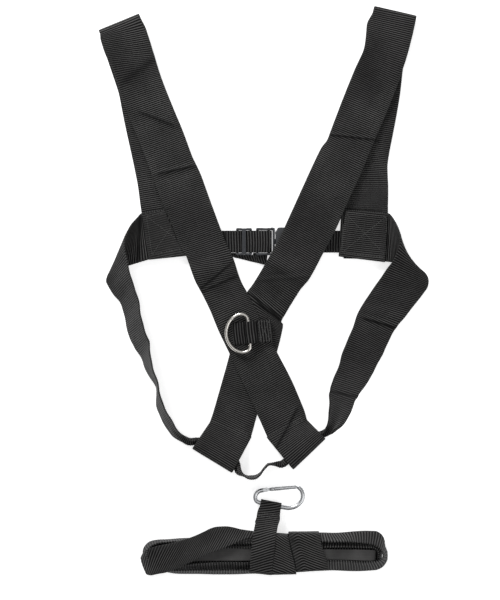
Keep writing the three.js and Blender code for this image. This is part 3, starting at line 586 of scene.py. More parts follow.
def thread_material(name, tone=(0.075, 0.074, 0.072)):
    m, t, p = new_material(name)
    n = Net(t)
    obj = n.node("ShaderNodeTexCoord").outputs["Object"]
    fib = n.noise(n.scaled(obj, 5200, 5200, 5200), 1.0, 2.0)
    ply = n.noise(obj, 1500.0, 2.0)
    colour = n.mix(n.ramp(fib, [(0.3, 0.0), (0.7, 1.0)]), tuple(0.55 * c for c in tone), tuple(1.6 * c for c in tone))
    t.links.new(colour, p.inputs["Base Color"])
    t.links.new(n.math("MULTIPLY_ADD", ply, 0.2, 0.42), p.inputs["Roughness"])
    p.inputs["Sheen Weight"].default_value = 0.2
    b = n.node("ShaderNodeBump")
    b.inputs["Strength"].default_value = 0.5
    b.inputs["Distance"].default_value = 0.00008
    t.links.new(fib, b.inputs["Height"])
    t.links.new(b.outputs[0], p.inputs["Normal"])
    return m


RIB50, RIB25 = 2.27, 3.05
M_WEB50 = webbing_material("webbing_50mm", RIB50 * MM, 0.00062, 0.0155, half_width=0.0245)
M_WEB25 = webbing_material("webbing_25mm", RIB25 * MM, 0.00055, 0.0125, seed=3, half_width=0.0125)
M_PULL = webbing_material("pull_webbing", RIB25 * MM, 0.00058, 0.0160, seed=5, half_width=0.0128)
M_FLAT = webbing_material("pull_webbing_plain_face", 0.0011, 0.00050, 0.019, plain=True, seed=7, half_width=0.0128)
M_THREAD = thread_material("sewing_thread")
M_PLASTIC = plastic_material("acetal_black")
M_NICKEL = metal_material("nickel_wire", (0.70, 0.675, 0.635), 0.24, warm=0.04)
M_ZINC = metal_material("zinc_steel", (0.60, 0.61, 0.625), 0.26, (1, 3, 1))


# ---- mesh helpers -----------------------------------------------------------------------------------
def make_object(name, verts_mm, quads, material, uv=None, smooth=True):
    me = bpy.data.meshes.new(name)
    verts = np.asarray(verts_mm, np.float64) * MM
    quads = np.asarray(quads, np.int32)
    me.vertices.add(len(verts))
    me.vertices.foreach_set("co", verts.astype(np.float32).ravel())
    me.loops.add(quads.size)
    me.loops.foreach_set("vertex_index", quads.ravel())
    me.polygons.add(len(quads))
    me.polygons.foreach_set("loop_start", np.arange(0, quads.size, quads.shape[1], dtype=np.int32))
    if uv is not None:
        layer = me.uv_layers.new(name="UVMap")
        layer.data.foreach_set("uv", np.asarray(uv, np.float32)[quads.ravel()].ravel())
    me.update(calc_edges=True)
    me.validate()
    if smooth:
        me.polygons.foreach_set("use_smooth", np.ones(len(me.polygons), bool))
    me.materials.append(material)
    ob = bpy.data.objects.new(name, me)
    scene.collection.objects.link(ob)
    return ob


def hermite(rows, step):
    """Rows (..., ax, ay, az, bx, by, bz, extra) read along their centre line, resampled every step mm."""
    rows = np.asarray(rows, float)
    centre = (rows[:, 0:3] + rows[:, 3:6]) / 2
    gap = np.linalg.norm(np.diff(centre, axis=0), axis=1)
    edge = np.maximum(np.linalg.norm(np.diff(rows[:, 0:3], axis=0), axis=1), np.linalg.norm(np.diff(rows[:, 3:6], axis=0), axis=1))
    h = np.maximum(np.maximum(gap, 0.35 * edge), 1e-3)
    s = np.r_[0, np.cumsum(h)]
    slope = np.diff(rows, axis=0) / h[:, None]
    m = np.empty_like(rows)
    m[0], m[-1] = slope[0], slope[-1]
    m[1:-1] = (h[1:, None] * slope[:-1] + h[:-1, None] * slope[1:]) / (h[1:] + h[:-1])[:, None]
    # keep a station from overshooting where one neighbour is much nearer than the other
    low = np.minimum(np.abs(slope[:-1]), np.abs(slope[1:])) * 3
    flip = slope[:-1] * slope[1:] < 0
    m[1:-1] = np.where(flip, m[1:-1] * 0.35, np.clip(m[1:-1], -low, low))
    q = np.linspace(0, s[-1], max(3, int(round(s[-1] / 0.5)) + 1))
    k = np.clip(np.searchsorted(s, q, side="right") - 1, 0, len(h) - 1)
    t = ((q - s[k]) / h[k])[:, None]
    hh = h[k][:, None]
    v = (2 * t**3 - 3 * t**2 + 1) * rows[k] + (t**3 - 2 * t**2 + t) * hh * m[k] + (-2 * t**3 + 3 * t**2) * rows[k + 1] + (t**3 - t**2) * hh * m[k + 1]
    c = (v[:, 0:3] + v[:, 3:6]) / 2
    real = np.r_[0, np.cumsum(np.linalg.norm(np.diff(c, axis=0), axis=1) + 1e-9)]
    want = np.linspace(0, real[-1], max(3, int(round(real[-1] / step)) + 1))
    return np.stack([np.interp(want, real, v[:, i]) for i in range(v.shape[1])], 1), want


def across(count, half_w, half_t):
    """Positions from -1 to 1 across a strap, closer together at the round selvedges."""
    r = min(0.5, half_t / half_w)
    rim = 1 - r * (1 - np.cos(np.linspace(0, np.pi / 2, 4)))   # not used for x below the rim
    inner = np.linspace(-(1 - r), 1 - r, count)
    left = -1 + r * (1 - np.cos(np.linspace(0, np.pi / 2, 4)[:-1]))
    return np.r_[left, inner, -left[::-1]], r


def strap(name, rows, material, pitch, amp=0.24, count=13, bow=None, creases=(), waves=(), skew=None, pleat=None,
          cup=0.0, phase=0.0, v0=0.0, fuzz=0.10, seed=0, dark=0.75):
    """A lofted strip. rows: ax, ay, az, bx, by, bz, thickness[, pleat]. Returns the object."""
    rows = np.asarray([list(r) + [0.0] * (8 - len(r)) for r in rows], float)
    g, s = hermite(rows, pitch / 4.0)
    a, b, t, pl = g[:, 0:3], g[:, 3:6], g[:, 6], g[:, 7]
    c = (a + b) / 2
    along = np.gradient(c, axis=0)
    # a very short moving average keeps the normals calm where stations turn quickly
    w = b - a
    width = np.linalg.norm(w, axis=1)
    w = w / width[:, None]
    nrm = np.cross(along, w)
    nrm /= np.linalg.norm(nrm, axis=1)[:, None] + 1e-12
    for _ in range(3):
        nrm[1:-1] = (nrm[:-2] + 2 * nrm[1:-1] + nrm[2:]) / 4
        nrm /= np.linalg.norm(nrm, axis=1)[:, None] + 1e-12
    x, r = across(count, float(np.median(width)) / 2, float(np.median(t)) / 2)
    rim = np.clip((np.abs(x) - (1 - r)) / r, 0, 1)
    prof = np.sqrt(np.maximum(0, 1 - rim**2))
    fade = np.clip((1 - np.abs(x)) * float(np.median(width)) / 2 / 1.3, 0, 1) ** 0.7
    lr = np.random.default_rng(100 + seed)
    S, X = np.meshgrid(s, x, indexing="ij")
    mid = c[:, None, :] + w[:, None, :] * (X * width[:, None] / 2)[:, :, None]
    lift = np.zeros_like(S)
    shade = np.zeros_like(S)
    if bow is not None:
        lift += np.interp(s, bow[0], bow[1])[:, None] * (1 - X**2)
    lift += cup * (X**2)
    for amp_w, lam, ph, xk in waves:
        lift += amp_w * np.sin(2 * np.pi * S / lam + ph + xk * X)
    for (x0, y0, x1, y1, deep, wide, kind) in creases:
        d = np.array([x1 - x0, y1 - y0]); ln = np.hypot(*d); d = d / ln
        rel = mid[:, :, :2] - np.array([x0, y0])
        tt = (rel @ d) / ln
        dist = rel[:, :, 0] * -d[1] + rel[:, :, 1] * d[0]
        keep = 1 / (1 + np.exp(-(np.minimum(tt, 1 - tt) + 0.02) / 0.05))
        if kind == "step":
            f = np.tanh(dist / wide)
            f = f * np.exp(-(dist / (wide * 6)) ** 2)
        else:
            f = np.exp(-(dist / wide) ** 2)
        lift += deep * keep * f
        # a valley crease also paints shade along its line, scaled by dark, into shade
        if deep < 0:
            shade = np.maximum(shade, keep * np.exp(-(dist / (wide * 0.6)) ** 2) * min(1.0, -deep * dark))
    P = pl[:, None] * np.sin(1.5 * np.pi * (X + 1)) if pleat else 0.0
    sk = 0.0
    if skew is not None:
        sk = np.interp(x, [-1, skew[1], 1], [skew[0], skew[2], skew[3]])[None, :]
    # hand-woven irregularity: each rib a little higher or lower, drifting along the strap
    jitter = np.interp(s, np.linspace(0, s[-1], max(2, int(s[-1] / pitch))), lr.normal(0, fuzz, max(2, int(s[-1] / pitch))))
    drift = 0.10 * np.sin(X * 2.1 + S / 23.0 + seed)
    rib = amp * (1 + jitter)[:, None] * np.cos(2 * np.pi * ((S + sk) / pitch + drift) + phase) * fade[None, :]
    scallop = 0.10 * np.cos(2 * np.pi * (S + sk) / pitch + phase) * rim[None, :] ** 2
    half = t[:, None] / 2 * prof[None, :]
    mid = mid + nrm[:, None, :] * (lift + P)[:, :, None] + w[:, None, :] * (np.sign(X) * scallop)[:, :, None]
    top = mid + nrm[:, None, :] * (half + rib * prof[None, :])[:, :, None]
    low = mid - nrm[:, None, :] * (half + rib * prof[None, :])[:, :, None]
    n, k = S.shape
    ring = np.concatenate([top, low[:, -2:0:-1, :]], axis=1)
    R = ring.shape[1]
    verts = ring.reshape(-1, 3)
    i = np.arange(n - 1)[:, None] * R
    j = np.arange(R)[None, :]
    q = np.stack([i + j, i + (j + 1) % R, i + R + (j + 1) % R, i + R + j], -1).reshape(-1, 4)
    U = X * width[:, None] / 2
    V = S + sk + v0
    drift_v = drift * pitch
    uv_top = np.stack([U * MM, (V + drift_v) * MM], -1)
    uv = np.concatenate([uv_top, uv_top[:, -2:0:-1, :]], axis=1).reshape(-1, 2)
    # end caps: strips of quads between the top and the bottom of the first and last rings
    caps = []
    for base, rev in ((0, False), ((n - 1) * R, True)):
        for m_ in range(k - 1):
            t0, t1 = base + m_, base + m_ + 1
            l0 = base + ((R - m_) % R)
            l1 = base + (R - m_ - 1)
            if m_ == 0:
                f = [t0, t1, l1, l1]
            elif m_ == k - 2:
                f = [t0, t1, l0, l0]
            else:
                f = [t0, t1, l1, l0]
            f = f if rev else f[::-1]
            caps.append(f)
    quads = [tuple(f) for f in q.tolist()]
    faces = quads + [tuple(dict.fromkeys(f)) for f in caps]
    vol = signed_volume(verts, faces)
    if vol < 0:
        faces = [f[::-1] for f in faces]
    me = bpy.data.meshes.new(name)
    me.from_pydata((verts * MM).tolist(), [], faces)
    layer = me.uv_layers.new(name="UVMap")
    idx = np.empty(len(me.loops), np.int32)
    me.loops.foreach_get("vertex_index", idx)
    layer.data.foreach_set("uv", uv[idx].astype(np.float32).ravel())
    me.polygons.foreach_set("use_smooth", np.ones(len(me.polygons), bool))
    # the painted crease shade is stored per vertex as the fold attribute
    tint = np.concatenate([shade, shade[:, -2:0:-1]], axis=1).reshape(-1)
    me.attributes.new("fold", "FLOAT", "POINT").data.foreach_set("value", tint.astype(np.float32))
    me.materials.append(material)
    me.update()
    ob = bpy.data.objects.new(name, me)
    scene.collection.objects.link(ob)
    ob["strap_mm"] = float(s[-1])
    return ob


def signed_volume(v, faces):
    tri = []
    for f in faces:
        for k in range(1, len(f) - 1):
            tri.append((f[0], f[k], f[k + 1]))
    tri = np.array(tri)
    p, q, r = v[tri[:, 0]], v[tri[:, 1]], v[tri[:, 2]]
    return float(np.einsum("ij,ij->i", p, np.cross(q, r)).sum() / 6)


def flat_rows(table, t):
    return [[ax, ay, z, bx, by, z, t] for ax, ay, bx, by, z in table]


def lerp(a, b, f):
    return (np.asarray(a, float) * (1 - f) + np.asarray(b, float) * f).tolist()


def swept(name, path, radius, sides, normal, material, closed=False, radii=None, round_ends=True):
    """A round wire along a planar path (mm)."""
    path = np.asarray(path, float)
    n = len(path)
    normal = np.asarray(normal, float) / np.linalg.norm(normal)
    if closed:
        tan = np.roll(path, -1, 0) - np.roll(path, 1, 0)
    else:
        tan = np.gradient(path, axis=0)
    tan /= np.linalg.norm(tan, axis=1)[:, None]
    side = np.cross(tan, normal)
    side /= np.linalg.norm(side, axis=1)[:, None]
    rad = np.full(n, radius) if radii is None else np.asarray(radii, float)
    w = np.arange(sides) / sides * 2 * np.pi
    ring = path[:, None, :] + rad[:, None, None] * (np.cos(w)[None, :, None] * side[:, None, :] + np.sin(w)[None, :, None] * normal[None, None, :])
    if not closed and round_ends:
        first = [path[0] - tan[0] * rad[0] * d + (ring[0] - path[0]) * math.sqrt(max(0, 1 - d * d)) for d in (0.92, 0.7, 0.4)]
        last = [path[-1] + tan[-1] * rad[-1] * d + (ring[-1] - path[-1]) * math.sqrt(max(0, 1 - d * d)) for d in (0.4, 0.7, 0.92)]
        ring = np.concatenate([np.array(first), ring, np.array(last)])
    m = len(ring)
    verts = ring.reshape(-1, 3)
    faces = []
    for i in range(m if closed else m - 1):
        a, b = i * sides, ((i + 1) % m) * sides
        for k in range(sides):
            l = (k + 1) % sides
            faces.append((a + k, a + l, b + l, b + k))
    if not closed:
        faces.append(tuple(range(sides))[::-1])
        faces.append(tuple(range((m - 1) * sides, m * sides)))
    if signed_volume(verts, faces) < 0:
        faces = [f[::-1] for f in faces]
    me = bpy.data.meshes.new(name)
    me.from_pydata((verts * MM).tolist(), [], faces)
    me.polygons.foreach_set("use_smooth", np.ones(len(me.polygons), bool))
    me.materials.append(material)
    me.update()
    ob = bpy.data.objects.new(name, me)
    scene.collection.objects.link(ob)
    return ob


def spline(points, count, closed=False):
    """Centripetal Catmull-Rom through points, evenly spaced."""
    p = np.asarray(points, float)
    if closed:
        p = np.concatenate([p[-1:], p, p[:2]])
    else:
        p = np.concatenate([2 * p[:1] - p[1:2], p, 2 * p[-1:] - p[-2:-1]])
    out = []
    for i in range(1, len(p) - 2):
        p0, p1, p2, p3 = p[i - 1:i + 3]
        t0 = 0.0
        t1 = t0 + np.linalg.norm(p1 - p0) ** 0.5
        t2 = t1 + np.linalg.norm(p2 - p1) ** 0.5
        t3 = t2 + np.linalg.norm(p3 - p2) ** 0.5
        for t in np.linspace(t1, t2, 24, endpoint=False):
            a1 = (t1 - t) / (t1 - t0) * p0 + (t - t0) / (t1 - t0) * p1
            a2 = (t2 - t) / (t2 - t1) * p1 + (t - t1) / (t2 - t1) * p2
            a3 = (t3 - t) / (t3 - t2) * p2 + (t - t2) / (t3 - t2) * p3
            b1 = (t2 - t) / (t2 - t0) * a1 + (t - t0) / (t2 - t0) * a2
            b2 = (t3 - t) / (t3 - t1) * a2 + (t - t1) / (t3 - t1) * a3
            out.append((t2 - t) / (t2 - t1) * b1 + (t - t1) / (t2 - t1) * b2)
    out.append(p[-2])
    out = np.array(out)
    s = np.r_[0, np.cumsum(np.linalg.norm(np.diff(out, axis=0), axis=1))]
    q = np.linspace(0, s[-1], count + 1)
    out = np.stack([np.interp(q, s, out[:, i]) for i in range(out.shape[1])], 1)
    return out[:-1] if closed else out


# rounded solids for mouldings: a prism of a plan outline with softened rims, in mm
def prism(outline, z0, z1, rim=0.6, steps=3):
    """Vertices and faces of an extruded outline whose top and bottom rims are rounded."""
    o = np.asarray(outline, float)
    if np.sum(o[:, 0] * np.roll(o[:, 1], -1) - np.roll(o[:, 0], -1) * o[:, 1]) < 0:
        o = o[::-1]
    e = np.roll(o, -1, 0) - o
    ln = np.linalg.norm(e, axis=1)[:, None]
    nr = np.stack([e[:, 1], -e[:, 0]], 1) / ln
    vn = nr + np.roll(nr, 1, 0)
    vn /= np.maximum(np.sum(vn * nr, axis=1), 0.35)[:, None]
    rings = []
    for k in range(steps + 1):
        w = k / steps * np.pi / 2
        rings.append((o - vn * rim * (1 - np.sin(w)), z0 + rim * (1 - np.cos(w))))
    for k in range(steps, -1, -1):
        w = k / steps * np.pi / 2
        rings.append((o - vn * rim * (1 - np.sin(w)), z1 - rim * (1 - np.cos(w))))
    v = np.concatenate([np.c_[xy, np.full(len(xy), z)] for xy, z in rings])
    n = len(o)
    faces = []
    for i in range(len(rings) - 1):
        for k in range(n):
            l = (k + 1) % n
            faces.append((i * n + k, i * n + l, (i + 1) * n + l, (i + 1) * n + k))
    faces.append(tuple(range(n))[::-1])
    faces.append(tuple(range((len(rings) - 1) * n, len(rings) * n)))
    return v, faces


def rounded_rect(x0, x1, y0, y1, r, steps=5):
    out = []
    for cx, cy, a in ((x1 - r, y0 + r, -90), (x1 - r, y1 - r, 0), (x0 + r, y1 - r, 90), (x0 + r, y0 + r, 180)):
        for k in range(steps + 1):
            w = math.radians(a + 90 * k / steps)
            out.append((cx + r * math.cos(w), cy + r * math.sin(w)))
    return out


def moulding(name, parts, material, voxel=0.28, smooth=5, turn=None, cut=()):
    """One watertight moulded body from overlapping rounded solids, with small fillets where they meet."""
    def joined(tag, solids):
        vs, fs, at = [], [], 0
        for v, f in solids:
            vs.append(v)
            fs += [tuple(i + at for i in face) for face in f]
            at += len(v)
        me = bpy.data.meshes.new(tag)
        me.from_pydata((np.concatenate(vs) * MM).tolist(), [], fs)
        me.update()
        o = bpy.data.objects.new(tag, me)
        scene.collection.objects.link(o)
        return o
    ob = joined(name, parts)
    m = ob.modifiers.new("remesh", "REMESH")
    m.mode = "VOXEL"
    m.voxel_size = voxel * MM
    m.use_smooth_shade = True
    sm = ob.modifiers.new("smooth", "SMOOTH")
    sm.factor = 0.5
    sm.iterations = smooth
    dg = bpy.context.evaluated_depsgraph_get()
    me = bpy.data.meshes.new_from_object(ob.evaluated_get(dg))
    old = ob.data
    ob.modifiers.clear()
    ob.data = me
    bpy.data.meshes.remove(old)
    me.name = name
    me.materials.clear()
    me.materials.append(material)
    me.polygons.foreach_set("use_smooth", np.ones(len(me.polygons), bool))
    return ob


def put(ob, body, slot_name, *nodes):
    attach(ob, body)
    if nodes:
        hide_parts(*nodes)
    return ob

# ---- shoulder straps ---------------------------------------------------------------------------------
WEB50 = 1.9


def beside(line, d):
    """A straight line moved sideways by d, to its left."""
    (x0, y0), (x1, y1) = line
    n = np.array([y0 - y1, x1 - x0]); n = n / np.hypot(*n)
    return [(x0 + n[0] * d, y0 + n[1] * d), (x1 + n[0] * d, y1 + n[1] * d)]


def flatten(line):
    return tuple(float(v) for p in line for v in p)


HEM_DEPTH, HEM_RADIUS = 36.0, 5.75


def hem(edge, first):
    """The strap's end folded back under itself: from the raw end near the stitch line, round the tunnel."""
    a1, b1 = np.array(first[0:2]), np.array(first[2:4])
    a0, b0 = np.array(edge[0]), np.array(edge[1])

    def at(s, z):
        f = s / HEM_DEPTH
        a, b = a0 + (a1 - a0) * f, b0 + (b1 - b0) * f
        return [a[0], a[1], z, b[0], b[1], z, WEB50]
    rows = [at(40, 1.15), at(34, 1.1), at(28, 1.05), at(18, 1.05), at(12, 1.05)]
    c = HEM_RADIUS + 1
    for k in range(13):
        w = -math.pi / 2 + k * math.pi / 12
        rows.append(at(c - HEM_RADIUS * math.cos(w), c + HEM_RADIUS * math.sin(w)))
    rows += [at(12, 12.5), at(16, 12.0), at(22, 9.2), at(28, 5.9), at(32, 4.2)]
    return rows


def fold(edge, front, back):
    """The shoulder fold: the strap turns over and comes back underneath."""
    (ax, ay), (bx, by) = edge
    out = np.array([ay - by, bx - ax])
    out /= np.hypot(*out)
    top = front[2] + 0.7
    r, zc = (top - back[2]) / 2, (top + back[2]) / 2
    rows = []
    for k in range(11):
        w = math.pi / 2 - k * math.pi / 10
        s = -(1 + r) + r * math.cos(w)
        z = zc + r * math.sin(w)
        rows.append([ax + out[0] * s, ay + out[1] * s, z, bx + out[0] * s, by + out[1] * s, z, WEB50])
    return rows


def shoulder(name, front, top, back, hem_edge, creases, waves, seed, skew):
    f, b = flat_rows(front, WEB50), flat_rows(back, WEB50)
    rows = hem(hem_edge, front[0]) + f + fold(top, f[-1], b[0]) + b
    return strap(name, rows, M_WEB50, RIB50, amp=0.34, count=17, creases=creases, waves=waves, seed=seed, skew=skew, dark=1.5)


# negative depths also paint shade along each crease (dark=1.5 in shoulder()); the first entry on each side is a painted
# shadow line along the top edge of the patch
crease_l = [(*PATCH_TOP_L, -0.5, 0.9, "valley"), (*CREASE_L[0], -1.0, 2.6, "valley"), (*CREASE_L[1], -1.3, 3.0, "valley"), (*CREASE_L[2], -1.1, 2.6, "valley"),
            (*CREASE_L[3], -0.65, 2.6, "valley"), (*CREASE_L[4], -0.6, 2.2, "valley"), (-124.0, 124.0, -80.0, 133.0, 0.8, 4.0, "valley"), (-141.4, 208.0, -101.6, 191.0, 0.55, 3.2, "valley"),
            (-69.0, 4.5, -31.0, 36.0, 0.8, 3.5, "valley"), (-119.0, 138.0, -75.0, 147.0, 0.5, 3.0, "valley"),
            (-160.0, 236.0, -125.0, 262.0, -0.4, 7.0, "valley")]
crease_r = [(*PATCH_TOP_R, -0.5, 0.9, "valley"), (*CREASE_R[3], -1.0, 1.9, "valley"), (*CREASE_R[0], -1.7, 3.4, "valley"), (*CREASE_R[1], -0.9, 2.0, "valley"), (*CREASE_R[2], -0.28, 3.0, "valley"),
            (-8.0, -2.0, 27.0, -31.5, 2.0, 2.8, "valley"), (-10.5, 8.0, 30.5, -25.0, 1.0, 3.0, "valley"), (75.0, 181.0, 128.0, 175.0, 0.7, 3.0, "valley"),
            (-6.0, 15.0, 55.0, 20.5, 0.8, 3.2, "valley"), (60.0, 120.0, 100.0, 140.0, 0.4, 6.0, "valley")]
left = shoulder("shoulder_left", LEFT_FRONT, LEFT_TOP, LEFT_BACK, LEFT_HEM, crease_l,
                [(0.22, 74, 0.4, 0.8), (0.14, 37, 1.7, -1.2)], 1, (0, 0, 0, 0))
put(left, "harness", "webbing_50mm", "shoulder_strap_left")
right = shoulder("shoulder_right", RIGHT_FRONT, RIGHT_TOP, RIGHT_BACK, RIGHT_HEM, crease_r,
                 [(0.20, 81, 2.1, 0.7), (0.12, 41, 0.3, 1.3)], 2, (0, 0, 0, 0))
put(right, "harness", "webbing_50mm", "shoulder_strap_right")

# ---- side strap: one strap from patch to patch through both hem tunnels ------------------------------
BUNCH_TOP, BUNCH_LOW, BUNCH_S = 10.4, 2.4, 10.5
PLEAT = 3.3


def in_tunnel(edge, first, u, top=BUNCH_TOP, low=BUNCH_LOW):
    a = lerp(edge[0], first[0:2], BUNCH_S / HEM_DEPTH)
    b = lerp(edge[1], first[2:4], BUNCH_S / HEM_DEPTH)
    x, y = lerp(a, b, u)
    return [x, y, top, x, y, low, 1.5, PLEAT]


def side_rows(table, deep):
    out = []
    for ax, ay, az, bx, by, bz, t in table:
        p = max(0.0, min(PLEAT, (t - 2.0) * 0.8))
        out.append([ax, ay, az, bx, by, bz, 1.9 if p < 0.3 else 1.6, p])
    return out


bottom = [[x, y, top, x, y, low, 1.9 if t < 3 else 1.6, max(0.0, min(PLEAT, (t - 2.0) * 0.8))] for x, y, top, low, t in SIDE_BOTTOM]
rows = side_rows(SIDE_LEFT, 0)
rows += [in_tunnel(RIGHT_HEM, RIGHT_FRONT[0], u) for u in (0.04, 0.35, 0.65, 0.96)]
rows += bottom
rows += [in_tunnel(LEFT_HEM, LEFT_FRONT[0], u) for u in (0.08, 0.35, 0.65, 0.92)]
rows += side_rows(SIDE_RIGHT, 0)
# the negative creases here carry painted shade, among them the dark folds beside the left patch
side = strap("side_strap", rows, M_WEB50, RIB50, amp=0.28, count=25, pleat=True, seed=3, cup=0.0, dark=1.2,
             creases=[(112.6, -32.0, 158.0, -45.0, -1.4, 3.0, "valley"), (112.0, -26.0, 160.0, -38.0, 0.9, 3.4, "valley"),
                      (74.0, -113.0, 108.0, -122.0, -1.2, 2.6, "valley"), (-140.0, 84.0, -143.0, 32.0, -0.7, 3.2, "valley"), (140.5, 84.0, 141.0, 34.0, -0.6, 2.2, "valley"), (-150.0, -62.0, -124.0, -58.0, 0.7, 4.0, "valley")],
             waves=[(0.5, 47, 0.8, 0.8), (0.3, 23, 2.2, -1.0)])
put(side, "harness", "webbing_50mm", "side_strap_left", "side_strap_bottom", "side_strap_right")

# the back layers' own ends, turned up over the side strap's ends and boxed down
end_l = strap("patch_left", [[ax, ay, z, bx, by, z, 1.1] for ax, ay, bx, by, z in PATCH_L], M_WEB50, RIB50, amp=0.26, count=17, seed=21,
              skew=(6.0, 0.0, 0.0, -6.0), waves=[(0.12, 27, 0.4, 0.8)], creases=[], dark=1.0)
put(end_l, "harness", "webbing_50mm")
end_r = strap("patch_right", [[ax, ay, z, bx, by, z, 1.1] for ax, ay, bx, by, z in PATCH_R], M_WEB50, RIB50, amp=0.26, count=17, seed=22,
              waves=[(0.12, 29, 1.4, 0.8)], creases=[], dark=1.0)
put(end_r, "harness", "webbing_50mm")

# ---- chest strap ----------------------------------------------------------------------------------------
CHEST_Y = 56.4 + SHIFT[1]
DX = SHIFT[0]
Y0, Y1 = CHEST_Y - 12.5, CHEST_Y + 12.5


def chest(path, t=1.45):
    return [[x + DX, y0, z, x + DX, y1, z, t] for x, z, y0, y1 in [(p + (Y0, Y1))[:4] if len(p) == 2 else p for p in path]]


run = chest([(-128.0, 3.1), (-110.0, 3.1), (-90.0, 3.1), (-80.0, 3.05), (-75.0, 2.85), (-71.0, 2.6), (-60.0, 2.5), (-46.3, 2.5)], t=1.2)
for r in run[-4:]:
    r[6] = 0.8
part1 = strap("chest_strap_left_run", run,
              M_WEB25, RIB25, amp=0.1, count=11, seed=4, skew=(-2.6, 0.0, 0.0, 2.6))
put(part1, "harness", "webbing_25mm")
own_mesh(part1)
turn = [(7.0 + 0.0, 2.0), (7.7, 2.6), (8.05, 3.5), (8.1, 4.4), (7.9, 5.3), (7.4, 6.0), (6.4, 6.35)]
tilt = math.radians(-9)


def leaning(x, z, grow):
    """The returned layer swings a little out of line below the first one."""
    yc = CHEST_Y - 1.4 * grow
    return (x, z, yc - 12.5 - 2.2 * grow, yc + 12.5 - 0.6 * grow)


loop = chest([
    (-47.2, 3.6), (-40.0, 3.6), (-35.0, 3.55), (-31.5, 3.1), (-28.2, 2.5), (-26.2, 1.5), (-24.8, 1.1), (-21.0, 1.1), (-19.4, 1.5), (-17.6, 2.6), (-15.8, 2.95),
    (-13, 2.95), (-9.4, 2.95), (-5.6, 2.8), (-2.0, 2.2), (1.5, 1.85), (5.5, 1.85)] + turn + [
    (3.5, 6.4), (1.5, 6.3), (-2.0, 5.5), (-5.6, 4.85), (-9.4, 4.75), (-13, 4.75), (-15.8, 4.75), (-17.6, 4.4), (-19.4, 3.3), (-21.0, 2.9), (-24.8, 2.9),
    (-26.2, 3.3), (-28.2, 4.3), (-30.5, 4.75), (-34.0, 4.95), (-44, 5.0)], t=1.4)
for r in loop[:3]:
    r[6] = 0.8
part2 = strap("chest_strap_left_loop", loop, M_WEB25, RIB25, amp=0.17, count=11, seed=5)
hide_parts("chest_strap_left")
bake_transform(part2)
part3 = strap("chest_strap_right_run", chest([
    (60, 7.1), (52, 7.1), (44.4, 7.1), (41.8, 7.1), (40.6, 6.7), (39.95, 5.8), (39.85, 4.6), (39.95, 3.4), (40.6, 2.5), (41.8, 2.1), (46.0, 2.1), (62, 2.3),
    (84, 3.0), (100, 3.1), (140, 3.1)]), M_WEB25, RIB25, amp=0.24, count=11, seed=6)
put(part3, "harness", "webbing_25mm", "chest_strap_right")
loose = strap("chest_strap_loose_end", [[*CHEST_TAIL[k][0:2], 1.5, *CHEST_TAIL[k][2:4], 2.6, 1.3] for k in range(len(CHEST_TAIL))],
              M_WEB25, RIB25, amp=0.2, count=9, seed=23, skew=(-2.5, 0.0, 0.0, 1.0))
put(loose, "adjuster", "webbing_25mm")

# ---- adjuster and buckle ------------------------------------------------------------------------------
def rect(x0, x1, y0, y1, z0, z1, r=0.8, rim=0.5):
    return prism(rounded_rect(x0 + DX, x1 + DX, y0 + CHEST_Y, y1 + CHEST_Y, r), z0, z1, rim)


def outline(points, z0, z1, rim=0.5, r=0.0):
    return prism([(x + DX, y + CHEST_Y) for x, y in points], z0, z1, rim)


def notched(sign, x0, x1, y_in, y_out, dip):
    """A side rail in plan, thinned by a shallow grip notch in its outer face."""
    xm = (x0 + x1) / 2
    pts = [(x0 + 0.8, y_in), (x1 - 0.8, y_in), (x1, y_in + 0.7), (x1, y_out - 0.9), (x1 - 0.9, y_out), (xm + 3.4, y_out)]
    pts += [(xm + 2.2, y_out - dip * 0.8), (xm, y_out - dip), (xm - 2.2, y_out - dip * 0.8)]
    pts += [(xm - 3.4, y_out), (x0 + 0.9, y_out), (x0, y_out - 0.9), (x0, y_in + 0.7)]
    return [(x, sign * y) for x, y in pts]


adj = moulding("strap_slider", [
    outline(notched(1, -31.9, -13.7, 12.9, 15.4, 0.35), 0.3, 5.9, 0.7),
    outline(notched(-1, -31.9, -13.7, 12.9, 15.4, 0.35), 0.3, 5.9, 0.7),
    rect(-31.9, -29.0, -13.6, 13.6, 0.3, 1.95, 0.7, 0.45), rect(-16.6, -13.7, -13.6, 13.6, 0.3, 1.95, 0.7, 0.45),
    rect(-25.1, -20.5, -13.6, 13.6, 3.95, 6.1, 0.7, 0.6), rect(-23.4, -22.2, -12.0, 12.0, 5.6, 6.45, 0.4, 0.4),
], M_PLASTIC, voxel=0.24, smooth=4)
put(adj, "adjuster", "buckle_plastic", "strap_adjuster")

male = moulding("buckle_plug_frame", [
    outline(notched(1, -9.1, 12.2, 12.9, 15.6, 0.3), 0.4, 6.4, 0.7), outline(notched(-1, -9.1, 12.2, 12.9, 15.6, 0.3), 0.4, 6.4, 0.7),
    rect(-9.1, -6.2, -13.6, 13.6, 0.4, 1.95, 0.7, 0.45), rect(4.0, 6.8, -13.6, 13.6, 2.9, 5.3, 0.8, 0.7),
    rect(9.7, 12.3, -15.6, 15.6, 0.8, 8.3, 0.9, 0.7), rect(12.0, 28.0, -3.0, 3.0, 3.2, 6.0, 1.0, 0.6), rect(12.0, 26.0, -0.7, 0.7, 5.4, 6.6, 0.4, 0.35),
    rect(7.6, 10.6, 13.6, 16.0, 1.0, 7.0, 0.8, 0.6), rect(7.6, 10.6, -16.0, -13.6, 1.0, 7.0, 0.8, 0.6),
], M_PLASTIC, voxel=0.26, smooth=4)
put(male, "buckle_plug", "buckle_plastic", "buckle_male")


